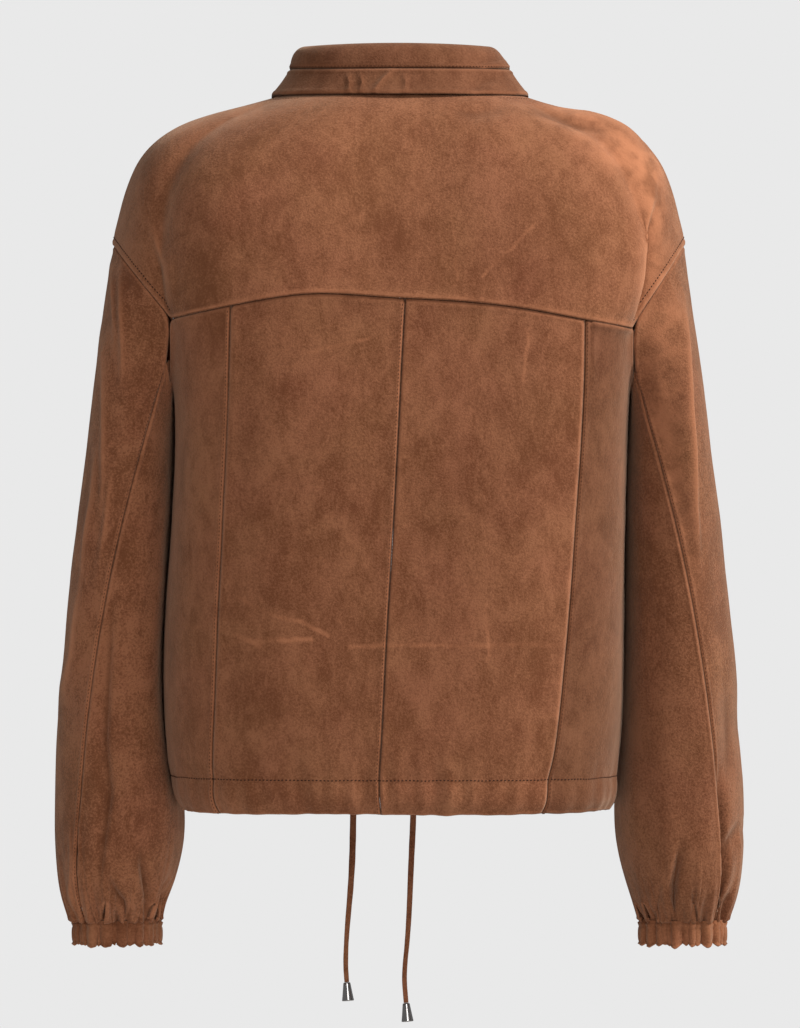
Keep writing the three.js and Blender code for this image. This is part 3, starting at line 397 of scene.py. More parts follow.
def rub_and_highlight_mark_group():
    nowhere = Vector((0, 0, 0))
    tree, given, result = new_group(
        "rub_and_highlight_mark", {"Place": nowhere, "From": nowhere, "To": Vector((0, 0, 0.1)), "Width": 0.003},
        {"Mask": "Float"})

    def vectors(how, *values, out=0):
        return wire(tree, "ShaderNodeVectorMath", dict(enumerate(values)), operation=how).outputs[out]

    rough = cloudy(tree, given["Place"], 60, 3)
    bent = vectors("SCALE", vectors("SUBTRACT", rough[1], Vector((0.5, 0.5, 0.5))))
    bent.node.inputs["Scale"].default_value = MARK["bend"]
    here = vectors("ADD", given["Place"], bent)
    reach = vectors("SUBTRACT", given["To"], given["From"])
    away = vectors("SUBTRACT", here, given["From"])
    along = vectors("DOT_PRODUCT", away, reach, out=1)
    share = calculate(tree, "DIVIDE", along, vectors("DOT_PRODUCT", reach, reach, out=1), clamp=True)
    foot = vectors("SCALE", reach)
    tree.links.new(share, foot.node.inputs["Scale"])
    beside = vectors("MULTIPLY", vectors("SUBTRACT", away, foot), Vector((1, MARK["inwards"], 1)))
    off = calculate(tree, "DIVIDE", vectors("LENGTH", beside, out=1), given["Width"])
    mask = ramp(tree, off, 0, 1, 1, 0, interpolation_type="SMOOTHSTEP")
    worn_and_painted = ramp(tree, rough[0], 0.4, 0.62, 0.25, 1)
    tree.links.new(calculate(tree, "MULTIPLY", mask, worn_and_painted), result["Mask"])
    return tree


SEAM_WEAR_AND_SHADE = seam_wear_and_shade_group()
RUB_AND_HIGHLIGHT_MARK = rub_and_highlight_mark_group()
print("wear:", len(SEAM_WEAR_AND_SHADE.nodes), "nodes, marks:", len(RUB_AND_HIGHLIGHT_MARK.nodes), "nodes")

# %% [markdown]
# Each part of the jacket was cut from another place of the hides, so each has its own pair of colours, and
# the right side piece and the right sleeve get darker copies of theirs as painted shade. The sheen of the
# raised fibres is set on the shader. The fine height of the nap goes through a bump, with a second one for
# the soft wrinkles of the leather.

# %% The suede materials
SHEEN = {"Sheen_Weight": 0.3, "Sheen_Roughness": 0.45, "Sheen_Tint": (1.0, 0.72, 0.52, 1.0)}
# The paler colour stands for rubs and painted highlights; the two deeper ones are painted shade in the seam
# grooves and in the crease valleys.
RUB_AND_HIGHLIGHT, GROOVE_SHADE, VALLEY_SHADE = 1.5, 0.35, 0.55  # the pale colour made paler, and the deep one made deeper
# How far a crease's ridge takes the paler colour, as a painted highlight that is partly rub, and its valley
# the deeper one, as painted shade.
CREASE_HIGHLIGHT_AND_SHADE = {"ridge": 0.85, "valley": -0.55}
BUMPS = {"wrinkles": (0.35, 0.0016), "fibres": (0.5, 0.0005)}  # strength and distance


def grouped(tree, group, sockets):
    return wire(tree, "ShaderNodeGroup", sockets, node_tree=group).outputs


def new_material(name, **shader):
    material = bpy.data.materials.new(name)
    material.use_nodes = True
    tree = material.node_tree
    principled = tree.nodes["Principled BSDF"]
    for key, value in shader.items():
        principled.inputs[key.replace("_", " ")].default_value = value
    return tree, principled.inputs, wire(tree, "ShaderNodeTexCoord").outputs["Object"], material


def bumped(tree, height, strength, distance, **more):
    sockets = {"Height": height, "Strength": strength, "Distance": distance, **more}
    return first(tree, "ShaderNodeBump", sockets)


def attribute(tree, name):
    return wire(tree, "ShaderNodeAttribute", attribute_name=name).outputs["Fac"]


# groove: how strong the painted shade in the seam grooves is; ridge: how strong the rubbed seam ridge is.
def suede(name, deep, pale, shift, marks=(), patches=1.0, grain=1.0, groove=0.7, ridge=0.55):
    tree, shader, place, material = new_material(name, **SHEEN, Specular_IOR_Level=0.12)
    moved = first(tree, "ShaderNodeMapping", {"Vector": place, "Location": shift})
    nap = grouped(tree, SUEDE_NAP, {"Place": moved, "Deep": (*deep, 1), "Pale": (*pale, 1),
                                    "Patches": patches, "Grain": grain})
    # The seam's rubbed ridge, and the painted shade of its groove.
    wear = grouped(tree, SEAM_WEAR_AND_SHADE, {"Place": place, "Edge": attribute(tree, "edge")})
    rub_and_highlight_colour = tuple(min(1.0, c * RUB_AND_HIGHLIGHT) for c in pale)
    valley_shade_colour = tuple(c * VALLEY_SHADE for c in deep)
    groove_shade_colour = tuple(c * GROOVE_SHADE for c in deep)
    colour = mixed(tree, calculate(tree, "MULTIPLY", wear["Ridge"], ridge), nap["Color"], rub_and_highlight_colour)
    # Rub marks, and painted highlights where the light falls.
    for start, end, width, strength in marks:
        mask = grouped(tree, RUB_AND_HIGHLIGHT_MARK, {"Place": place, "From": Vector(start) * MM,
                                        "To": Vector(end) * MM, "Width": width * MM})
        colour = mixed(tree, calculate(tree, "MULTIPLY", mask["Mask"], strength), colour, rub_and_highlight_colour)
    # Painted highlight, partly rub, on the crease ridges, and painted shade in their valleys.
    crease_highlight_and_shade = attribute(tree, "crease_highlight_and_shade")
    for key, tone in (("ridge", rub_and_highlight_colour), ("valley", valley_shade_colour)):
        colour = mixed(tree, calculate(tree, "MULTIPLY", crease_highlight_and_shade, CREASE_HIGHLIGHT_AND_SHADE[key], clamp=True), colour, tone)
    # Painted shade in the seam grooves.
    colour = mixed(tree, calculate(tree, "MULTIPLY", wear["GrooveShade"], groove), colour, groove_shade_colour)
    tree.links.new(colour, shader["Base Color"])
    tree.links.new(nap["Roughness"], shader["Roughness"])
    wrinkles = bumped(tree, cloudy(tree, moved, 95, 4, 0.6)[0], *BUMPS["wrinkles"])
    tree.links.new(bumped(tree, nap["Height"], *BUMPS["fibres"], Normal=wrinkles), shader["Normal"])
    return material


# Rub marks and painted highlights: from and to in millimetres, width, and how strong.
BACK_MARKS = [
    ((147, 122, -434), (70, 124, -431), 3.5, 0.72),
    ((40, 124, -437), (-124, 122, -436), 3.0, 0.46),
    ((185, 90, -473), (172, 110, -449), 3.0, 0.8),
    ((172, 110, -449), (157, 118, -438), 3.0, 0.87),
    ((157, 118, -438), (147, 120, -435), 3.0, 0.87),
    ((100, 124, -413), (77, 124, -417), 3.0, 0.72),
    ((77, 124, -417), (57, 124, -429), 3.0, 0.65),
    ((129, 122, -398), (107, 123, -409), 3.5, 0.65),
    ((131, 122, -428), (109, 123, -436), 3.5, 0.72),
    ((70, 125, -208), (23, 125, -196), 2.6, 0.65),
    ((-67, 125, -405), (-69, 125, -449), 2.8, 0.51),
    ((-100, 125, -191), (-96, 125, -230), 2.6, 0.58),
]
SIDE_MARKS = [
    ((175, 100, -221), (141, 121, -222), 2.2, 0.65),
    ((178, 96, -236), (141, 121, -238), 2.2, 0.72),
    ((185, 90, -473), (172, 108, -449), 3.0, 0.8),
    ((172, 108, -449), (157, 118, -438), 3.0, 0.87),
    ((157, 118, -438), (147, 120, -435), 3.0, 0.87),
]
YOKE_RUBS_AND_HIGHLIGHTS = [
    ((-64, 122, -148), (-103, 118, -110), 2.4, 0.45),
    ((-40, 118, -90), (-44, 123, -150), 2.2, 0.25),
    ((30, 60, -20), (60, 90, -50), 3.0, 0.3),
    # The three wide ones are painted highlights: the light on both shoulders and down the yoke's right side.
    ((-135, 40, -15), (-190, 60, -60), 34, 1.0),
    ((-190, 60, -60), (-204, 60, -160), 26, 0.8),
    ((120, 36, -12), (172, 46, -34), 22, 0.3),
]
SLEEVE_HIGHLIGHT = [
    # A painted highlight: the light on the right sleeve's outer side.
    ((-203, 60, -180), (-216, 62, -400), 34, 0.75),
]
DEEP, PALE = (0.168, 0.057, 0.024), (0.312, 0.124, 0.061)


def toned(colour, factor):
    return tuple(c * factor for c in colour)


# Darker copies for the right side piece and the right sleeve: painted shade on the side that the key lamp
# lights.
SUEDE_NAMES = {"back_side_right": "suede_side_right", "sleeve_under_right": "suede_under_right",
               "sleeve_upper_right": "suede_sleeve_right_painted_shade"}
# For each suede: how deep and how pale against the two colours above, where in the hides it lies, and more.
SUEDE_TABLE = {
    "yoke": (0.96, 0.96, (0, 0, 0), {"marks": YOKE_RUBS_AND_HIGHLIGHTS, "groove": 0.15, "ridge": 0.7, "grain": 1.3}),
    "back": (0.92, 0.9, (0.3, 0, 0.1), {"marks": BACK_MARKS, "patches": 1.15, "grain": 1.35}),
    "side": (0.95, 0.92, (0.7, 0.2, 0), {"marks": SIDE_MARKS}),
    # The next row and the two right sleeve rows are darker copies: painted shade on the side that the key
    # lamp lights.
    "back_side_right": (0.62, 0.62, (0.7, 0.2, 0), {}),
    "front": (1.0, 1.0, (0.1, 0.9, 0.4), {}),
    "sleeve": (0.98, 1.02, (1.1, 0, 0.5), {"grain": 1.8, "patches": 1.3}),
    "sleeve_under_right": (0.84, 0.82, (1.1, 0, 0.5), {"grain": 1.8}),
    "sleeve_upper_right": (0.8, 0.82, (1.1, 0, 0.5), {"marks": SLEEVE_HIGHLIGHT, "grain": 2.0}),
    "cuff": (1.05, 1.05, (0, 1.7, 0.3), {}),
    "collar": (0.68, 0.66, (1.9, 0.4, 0), {}),
    "lace": (1.0, 1.05, (0.2, 0.1, 2.3), {"grain": 1.2, "groove": 0, "ridge": 0}),
}
SUEDES = {}
for key, (deep, pale, shift, more) in SUEDE_TABLE.items():
    called = SUEDE_NAMES.get(key, f"suede_{key}")
    SUEDES[key] = suede(called, toned(DEEP, deep), toned(PALE, pale), shift, **more)
print("suedes:", len(SUEDES))

# %% [markdown]
# The metal is gunmetal: dark, nearly neutral and polished, with faint cloudy wear in its gloss. The zip's
# tape is a close weave, and the thread is a shade darker than the suede; the dark thread is darker still, as
# painted shade of its stitch holes. These need no sharing, so each is a plain material of its own.

# %% Metal, tape, thread and floor
def gunmetal(name, colour, roughness, wear_scale):
    tree, shader, place, material = new_material(name, Metallic=1.0)
    wear = cloudy(tree, place, wear_scale, 4, 0.65)[0]
    tree.links.new(ramp(tree, wear, 0.3, 0.7, roughness * 0.7, roughness * 1.5), shader["Roughness"])
    bright = tuple(min(1, c * 1.35) for c in colour)
    tree.links.new(mixed(tree, wear, colour, bright), shader["Base Color"])
    tree.links.new(bumped(tree, wear, 0.03, 0.0002), shader["Normal"])
    return material


def woven_tape(name, dark, light):
    tree, shader, place, material = new_material(name, Roughness=0.85, Sheen_Weight=0.15, Sheen_Roughness=0.6)
    slanted = first(tree, "ShaderNodeMapping", {"Vector": place, "Rotation": (0, math.radians(45), 0)})
    threads = []
    for way in ("X", "Z"):
        wave = {"Vector": slanted, "Scale": 320, "Distortion": 0.6}
        threads.append(wire(tree, "ShaderNodeTexWave", wave, bands_direction=way).outputs["Fac"])
    weave = calculate(tree, "MAXIMUM", *threads)
    tree.links.new(mixed(tree, weave, dark, light), shader["Base Color"])
    tree.links.new(bumped(tree, weave, 0.4, 0.0003), shader["Normal"])
    return material


def thread_material(name, dark, light):
    tree, shader, place, material = new_material(name, Roughness=0.75, Specular_IOR_Level=0.2)
    tree.links.new(mixed(tree, cloudy(tree, place, 900)[0], dark, light), shader["Base Color"])
    return material


GUNMETAL = gunmetal("gunmetal", (0.30, 0.29, 0.285), 0.13, 90)
ZIP_METAL = gunmetal("zip_metal", (0.16, 0.15, 0.145), 0.3, 500)
TAPE_CLOTH = woven_tape("woven_tape", (0.045, 0.022, 0.012), (0.11, 0.055, 0.03))
THREAD = {
    # The dark thread is darker as painted shade of its stitch holes.
    "dark": thread_material("thread_dark_painted_hole_shade", (0.030, 0.009, 0.004), (0.055, 0.018, 0.008)),
    "tone": thread_material("thread_tone", (0.07, 0.024, 0.010), (0.16, 0.06, 0.028)),
}
floor_tree, floor_shader, _, floor_material = new_material("pale_floor", Roughness=0.9)
grey = first(floor_tree, "ShaderNodeTexNoise", {"Scale": 3})
floor_tree.links.new(mixed(floor_tree, grey, (0.78,) * 3, (0.82,) * 3), floor_shader["Base Color"])
floor_mesh.materials.append(floor_material)

# %% [markdown]
# Each panel's solid is a thin wall, with an outer skin, an inner one and a rim. A real panel is one sheet,
# so only the outer skin is taken: the faces that see the other skin when they look straight through the
# wall, as far as they join without a sharp edge. That sheet is smoothed with a subdivision surface, shaped,
# and given its thickness again at the end.

# %% Outer skins
# How thick a wall may be, how opposite its skins face, and the angles in degrees: up to which faces belong
# to one skin, up to which a corner's triangle is added, and up to which triangles are joined to quads.
SKIN = {"look": 0.0055, "opposite": -0.8, "joined": 50, "corner": 40, "quads": math.radians(60)}
JOINED = {"collar_roll": 60, "cuff_left": 180, "cuff_right": 180}
# For each piece, its place in the hides and how often its mesh is subdivided.
PIECES = {
    "yoke": ("yoke", 3), "back_side_left": ("side", 3), "back_centre_left": ("back", 3),
    "back_centre_right": ("back", 3), "back_side_right": ("side", 3), "front_left": ("front", 2),
    "front_right": ("front", 2), "collar_band": ("collar", 3), "collar_roll": ("collar", 2),
    "sleeve_upper_left": ("sleeve", 3), "sleeve_under_left": ("sleeve", 3),
    "sleeve_upper_right": ("sleeve", 3), "sleeve_under_right": ("sleeve", 3), "cuff_left": ("cuff", 2),
    "cuff_right": ("cuff", 2),
}


def outer_skin(name):
    """The outer skin of a panel's solid, as a mesh with its triangles joined to quads."""
    bm = bmesh.new()
    bm.from_mesh(nodes[name].data)
    bmesh.ops.remove_doubles(bm, verts=bm.verts, dist=1e-5)
    bm.normal_update()
    bm.faces.ensure_lookup_table()
    tree = BVHTree.FromBMesh(bm)
    through = set()
    for face in bm.faces:
        start = face.calc_center_median() - face.normal * 2e-5
        _, normal, _, _ = tree.ray_cast(start, -face.normal, SKIN["look"])
        if normal is not None and normal.dot(face.normal) < SKIN["opposite"]:
            through.add(face)
    limit = math.radians(JOINED.get(name, SKIN["joined"]))
    skins = []
    waiting = set(through)
    while waiting:
        stack = [waiting.pop()]
        skin = set(stack)
        while stack:
            for edge in stack.pop().edges:
                if edge.calc_face_angle(math.pi) > limit:
                    continue
                for face in edge.link_faces:
                    if face in waiting:
                        waiting.discard(face)
                        skin.add(face)
                        stack.append(face)
        skins.append(skin)
    best = max(skins, key=lambda skin: sum(face.calc_area() for face in skin))
    for face in bm.faces:
        joins = [edge for edge in face.edges if any(other in best for other in edge.link_faces)]
        flat = all(edge.calc_face_angle(math.pi) < math.radians(SKIN["corner"]) for edge in joins)
        if face not in best and (len(joins) == 3 or (len(joins) == 2 and flat)):
            best.add(face)
    bmesh.ops.delete(bm, geom=[face for face in bm.faces if face not in best], context="FACES")
    bmesh.ops.join_triangles(bm, faces=bm.faces, angle_face_threshold=SKIN["quads"],
                             angle_shape_threshold=SKIN["quads"])
    mesh = bpy.data.meshes.new(name + "_skin")
    bm.to_mesh(mesh)
    bm.free()
    return mesh


def plain_copy(made, name):
    """What a piece's modifiers give, as a plain mesh in an object of its own."""
    evaluated = made.evaluated_get(bpy.context.evaluated_depsgraph_get())
    mesh = bpy.data.meshes.new_from_object(evaluated)
    mesh.name = name
    old = made.data
    bpy.data.objects.remove(made)
    bpy.data.meshes.remove(old)
    return new_object(name, mesh)


def refined(name, levels):
    """The outer skin, made finer and smooth."""
    made = new_object(name + "_coarse", outer_skin(name))
    smooth = made.modifiers.new("smooth", "SUBSURF")
    smooth.levels = smooth.render_levels = levels
    smooth.boundary_smooth = "PRESERVE_CORNERS"
    return plain_copy(made, name + "_cloth")


cloth = {name: refined(name, levels) for name, (_, levels) in PIECES.items()}
borders = {}
print("faces of the skins:", sum(len(piece.data.polygons) for piece in cloth.values()))

# %% [markdown]
# The creases are given one by one, each with its own line, height and width, as lines drawn on the picture's
# plane through the middle of the jacket. A width before and after the line makes one flank steeper than the
# other. The front has similar ones, which nobody has seen, so they are placed freely.

# %% The creases
# For each piece its creases: points as (sideways, height), how high it is, and its widths on both sides,
# the wearer's left one first.
SEEN_CREASES = [
    ("collar_band", [
        ([(41, 3), (40, 11), (42, 19)], 0.9, (1.6, 2.2)),
        ([(31, 3), (30, 11), (32, 20)], 0.8, (1.6, 1.8)),
        ([(22, 3), (14, 13), (5, 22)], 1.1, (1.8, 2.6)),
        ([(-4, 3), (-5, 11), (-3, 20)], 0.7, (1.6, 2.0)),
        ([(-58, 4), (-66, 12), (-84, 17)], -1.0, (4, 5)),
    ]),
    ("collar_roll", [
        ([(-60, 25), (-82, 32), (-98, 36)], -1.3, (3, 6)),
    ]),
    ("yoke", [
        ([(-203, -79), (-198, -94), (-194, -110), (-190, -127), (-189, -142), (-186, -162),
          (-185, -180)], 4.4, (13, 2.2)),
        ([(-207, -82), (-201, -100), (-197, -114), (-194, -132), (-192, -150), (-190, -167),
          (-188, -180)], -1.6, (2.2, 9)),
        ([(198, -103), (192, -121), (186, -135), (184, -150), (183, -170)], 1.7, (4, 5)),
        ([(-102, -6), (-125, -13), (-144, -22), (-165, -27)], -2.6, (6, 6)),
        ([(-140, -11), (-160, -18), (-179, -26), (-192, -38)], 2.0, (5, 6)),
        ([(-38, -9), (-59, -12), (-84, -10)], -1.5, (7, 7)),
    ]),
    ("sleeve_upper_right sleeve_under_right cuff_right", [
        ([(-227, -159), (-228, -186), (-229, -214), (-230, -249), (-233, -284), (-235, -324),
          (-239, -361)], 4.0, (9, 2.2)),
    ]),
    ("sleeve_upper_right", [
        ([(-262, -474), (-266, -506), (-264, -545)], -2.6, (8, 8)),
        ([(-273, -580), (-266, -596), (-262, -612)], -2.8, (4, 5)),
        ([(-255, -538), (-258, -574), (-260, -618), (-258, -641), (-250, -666)], -4.5, (2.8, 4)),
    ]),
    ("sleeve_under_right", [
        ([(-225, -599), (-222, -615), (-218, -632), (-218, -647), (-221, -670)], -3.9, (2.6, 3.4)),
        ([(-237, -630), (-235, -649), (-238, -668)], -1.7, (2.4, 2.6)),
    ]),
    ("sleeve_upper_right", [
        ([(-263, -623), (-260, -646), (-255, -668)], -1.7, (2.2, 2.6)),
    ]),
    ("sleeve_under_right", [
        ([(-208, -631), (-204, -650), (-202, -668)], -1.1, (2.2, 2.4)),
        ([(-245, -642), (-243, -657), (-243, -670)], -1.4, (2, 2.4)),
    ]),
    ("sleeve_upper_left", [
        ([(255, -390), (256, -406), (258, -425), (260, -446), (265, -466), (271, -484)], 2.6, (5, 8)),
    ]),
    ("sleeve_under_left sleeve_upper_left", [
        ([(230, -399), (232, -434), (234, -474), (236, -518), (232, -556), (236, -586), (240, -618),
          (241, -652)], -2.6, (6, 3)),
    ]),
    ("sleeve_upper_left", [
        ([(264, -585), (262, -607), (262, -622), (263, -639), (261, -657)], 1.3, (2.6, 4)),
    ]),
    ("sleeve_under_left", [
        ([(235, -623), (230, -634), (222, -646), (218, -666)], -3.0, (2.8, 3)),
        ([(207, -609), (200, -639), (201, -662)], -4.2, (3.2, 4)),
        ([(185, -626), (188, -642), (192, -662)], -3.3, (2.8, 3)),
    ]),
    ("sleeve_upper_left", [
        ([(248, -630), (250, -649), (249, -668)], -1.2, (2.2, 2.6)),
    ]),
    ("sleeve_under_left", [
        ([(239, -641), (239, -654), (238, -668)], -1.2, (2, 2.2)),
        ([(228, -649), (226, -668)], -1.2, (2, 2.2)),
    ]),
    ("sleeve_upper_left", [
        ([(223, -137), (222, -168), (221, -202), (222, -230)], 1.7, (2.6, 3.6)),
        ([(230, -129), (228, -164), (227, -194)], 1.4, (2.4, 3)),
        ([(238, -188), (236, -223), (236, -272), (236, -306), (239, -338)], 1.9, (2.8, 5)),
        ([(243, -282), (245, -322), (250, -354), (254, -393)], 1.8, (3, 5)),
        ([(230, -298), (234, -338), (240, -375)], 1.3, (3, 4)),
    ]),
]
HIDDEN_CREASES = [
    ("front_left", [
        ([(150, -190), (120, -232), (96, -290)], 2.6, (9, 6)),
        ([(165, -240), (140, -290), (128, -350)], -2.2, (8, 7)),
        ([(60, -420), (44, -480), (40, -535)], 1.8, (6, 8)),
    ]),
    ("front_right", [
        ([(-154, -196), (-128, -246), (-108, -300)], 2.4, (6, 9)),
        ([(-164, -262), (-146, -320)], -2.0, (7, 7)),
        ([(-52, -440), (-40, -494), (-46, -538)], 1.7, (8, 6)),
    ]),
    ("sleeve_upper_left", [
        ([(232, -190), (240, -250), (243, -330)], 2.4, (4, 8)),
        ([(200, -352), (222, -368), (252, -364)], -2.8, (6, 7)),
        ([(206, -392), (232, -402), (258, -392)], -2.2, (6, 6)),
        ([(238, -470), (242, -540), (236, -620)], 2.2, (4, 7)),
    ]),
    ("sleeve_upper_right", [
        ([(-230, -196), (-238, -262), (-240, -322)], 2.2, (8, 4)),
        ([(-204, -346), (-228, -360), (-254, -352)], -2.6, (7, 6)),
        ([(-208, -390), (-234, -404), (-256, -398)], -2.3, (6, 6)),
        ([(-240, -476), (-244, -552), (-236, -630)], 2.2, (7, 4)),
    ]),
]


def crease_height(places, line, height, widths):
    """How far a crease lifts each place (sideways, height): full in its middle, dying out at both ends."""
    line = np.array(line, float)
    runs = np.linalg.norm(np.diff(line, axis=0), axis=1)
    before = np.concatenate([[0], np.cumsum(runs)])
    nearest = np.full(len(places), np.inf)
    aside = np.zeros(len(places))
    along = np.zeros(len(places))
    for k, (a, b) in enumerate(zip(line, line[1:])):
        d = (b - a) / runs[k]
        rel = places - a
        t = np.clip(rel @ d, 0, runs[k])
        off = rel - np.outer(t, d)
        far = np.hypot(off[:, 0], off[:, 1])
        closer = far < nearest
        nearest[closer] = far[closer]
        aside[closer] = (rel[:, 1] * d[0] - rel[:, 0] * d[1])[closer]
        along[closer] = ((before[k] + t) / before[-1])[closer]
    width = np.where(aside > 0, widths[0], widths[1])
    fade = np.clip(np.sin(np.pi * np.clip(along, 0.02, 0.98)), 0, 1) ** 0.6
    return height * fade * np.exp(-((nearest / width) ** 2))


def on_picture_plane(places):
    """Where the eye sees each place, on the plane through the middle of the jacket, in millimetres."""
    eye = np.array(EYE) / MM
    grow = eye[1] / (eye[1] - places[:, 1])
    return np.stack([places[:, 0] * grow, eye[2] + (places[:, 2] - eye[2]) * grow], axis=1)


def read_vectors(mesh, what):
    values = np.zeros(len(mesh.vertices) * 3, np.float32)
    mesh.vertices.foreach_get(what, values)
    return values.reshape(-1, 3).astype(float)


def creases_of(name, places):
    """All the creases of a piece, each with its places as they are looked at and whether it is a seen one."""
    found = []
    for table, seen in ((SEEN_CREASES, True), (HIDDEN_CREASES, False)):
        where = on_picture_plane(places) if seen else places[:, [0, 2]]
        for pieces, creases in table:
            if name in pieces.split():
                found += [(where, seen, *crease) for crease in creases]
    return found


# Narrower creases than this need a finer mesh, as far as they reach this share of their height.
FINE_CREASE = {"width": 5, "share": 0.42}


def split_near_creases(name, piece):
    """Halves the faces near a crease and near the gathered end of a sleeve, so that they can bend there."""
    mesh = piece.data
    places = read_vectors(mesh, "co") / MM
    close = np.zeros(len(places), bool)
    for where, _, line, _, widths in creases_of(name, places):
        if min(widths) < FINE_CREASE["width"]:
            close |= crease_height(where, line, 1, widths) > FINE_CREASE["share"]
    if name.startswith("sleeve"):
        close |= places[:, 2] < GATHERS["top"]
    bm = bmesh.new()
    bm.from_mesh(mesh)
    bm.verts.ensure_lookup_table()
    edges = [edge for edge in bm.edges if close[edge.verts[0].index] and close[edge.verts[1].index]]
    bmesh.ops.subdivide_edges(bm, edges=edges, cuts=1, use_grid_fill=True)
    bm.to_mesh(mesh)
    bm.free()


print("creases:", sum(len(creases) for _, creases in SEEN_CREASES + HIDDEN_CREASES))

# %% [markdown]
# On top of the creases, the cloth is never quite even: long shallow waves run over it, the drawcord puckers
# the casing, the sleeves' ends are gathered, and each seam sinks into a groove between two soft ridges.
# Under the arms the back panels and sleeves swell until they meet. Two numbers stay with each point for the
# suede: how far it lies from its panel's edge, and how near it is to a crease's ridge or valley, for a
# painted highlight, partly rub, on the ridge and a painted shade in the valley.

# %% Shaping the cloth
HEM_Z, CASING_TOP, CUFF_TOP = -570, -542, -662
SEAM = {"groove": 0.9, "groove_width": 1.2, "ridge": 0.7, "ridge_at": 2.6, "ridge_width": 1.1}
LAPPED = {"groove": -0.1, "groove_width": 1.2, "ridge": 0.7, "ridge_at": 2.2, "ridge_width": 1.6}
WAVES = {"size": 85, "height": 1.3, "fine_size": 30, "fine_height": 0.35}
PUCKERS = {"size": 11, "height": 2.6, "above": 26, "radius": 120}
GATHERS = {"top": -622, "spacing": 7.5, "height": 2.6, "fade": 17}
GATHERED_HEM = {"share": 0.9, "reach": 6}  # the cuff's lower edge waves with its gathers
CREASE_STRENGTH = 1.9
# How much of a crease's width gets its painted highlight and shade, up to which width, and from which height
# it is painted fully.
CREST = {"share": 0.45, "width": 5, "full": 2.5}
ARMPIT = {"low": -240, "high": -176, "fade_low": 14, "fade_high": 10, "inner": 150, "height": 2.4, "width": 7}


def open_edges(mesh):
    uses = {}
    for polygon in mesh.polygons:
        for key in polygon.edge_keys:
            uses[key] = uses.get(key, 0) + 1
    return [key for key, count in uses.items() if count == 1]


def border_of(mesh):
    """The vertices of a mesh's open edge."""
    return sorted({v for key in open_edges(mesh) for v in key})


def tree_of(points):
    tree = kdtree.KDTree(len(points))
    for k, point in enumerate(points):
        tree.insert(point, k)
    tree.balance()
    return tree


def gather_height(place, centre, radius):
    """Round folds about a sleeve's end, with sharp valleys. They die out upwards, some sooner than others."""
    turn = math.atan2(place[1] - centre[1], place[0] - centre[0])
    folds = round(math.pi * radius / GATHERS["spacing"])
    around = Vector((math.cos(turn) * 4, math.sin(turn) * 4, centre[0] * 0.1))
    ripple = abs(math.sin(turn * folds + 2.4 * noise.noise(around)))
    fade = GATHERS["fade"] * (1.1 + 1.2 * noise.noise(around * 0.8 + Vector((5, 5, 5))))
    reach = math.exp(-max(0, place[2] - CUFF_TOP) / fade)
    return GATHERS["height"] * reach * (1.5 * ripple ** 0.7 - 1.0 + 0.5 * noise.noise(around * 0.7))


def unevenness(name, place):
    """The waves all over a panel, and the puckers of the casing."""
    v = Vector(place)
    height = WAVES["height"] * noise.noise(v / WAVES["size"])
    height += WAVES["fine_height"] * noise.noise(v / WAVES["fine_size"])
    top = CASING_TOP + PUCKERS["above"]
    if name.startswith(("back", "front")) and place[2] < top:
        run = math.atan2(place[0], place[1]) * PUCKERS["radius"]
        near = min(1, (top - place[2]) / 30) * min(1, max(0, (place[2] - HEM_Z + 4) / 8))
        height += PUCKERS["height"] * near * noise.noise(Vector((run / PUCKERS["size"], 0, place[2] / 70)))
    return height


def seam_height(name, edge):
    """A groove along the edge with a soft ridge beside it."""
    seam = LAPPED if name == "yoke" else SEAM
    ridge = np.exp(-(((edge - seam["ridge_at"]) / seam["ridge_width"]) ** 2))
    return seam["ridge"] * ridge - seam["groove"] * np.exp(-((edge / seam["groove_width"]) ** 2))


def armpit_height(places, edge):
    up = places[:, 2]
    inside = np.clip((up - ARMPIT["low"]) / ARMPIT["fade_low"], 0, 1)
    inside *= np.clip((ARMPIT["high"] - up) / ARMPIT["fade_high"], 0, 1)
    inside *= np.abs(places[:, 0]) > ARMPIT["inner"]
    return ARMPIT["height"] * inside * np.exp(-((edge / ARMPIT["width"]) ** 2))


def gathered(name, places, shaped):
    """Moves a sleeve's or cuff's points in and out about the cuff's middle."""
    lo, hi = np.array(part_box("cuff_" + name.split("_")[-1])) / MM
    middle = (lo + hi) / 2
    gathers = np.array([gather_height(p, middle, (hi[0] - lo[0]) / 2) for p in places])
    around = places[:, :2] - middle[:2]
    shaped[:, :2] += around / np.linalg.norm(around, axis=1)[:, None] * gathers[:, None]
    if name.startswith("cuff"):
        low = np.clip((middle[2] - places[:, 2]) / GATHERED_HEM["reach"], 0, 1)
        shaped[:, 2] -= GATHERED_HEM["share"] * gathers * low


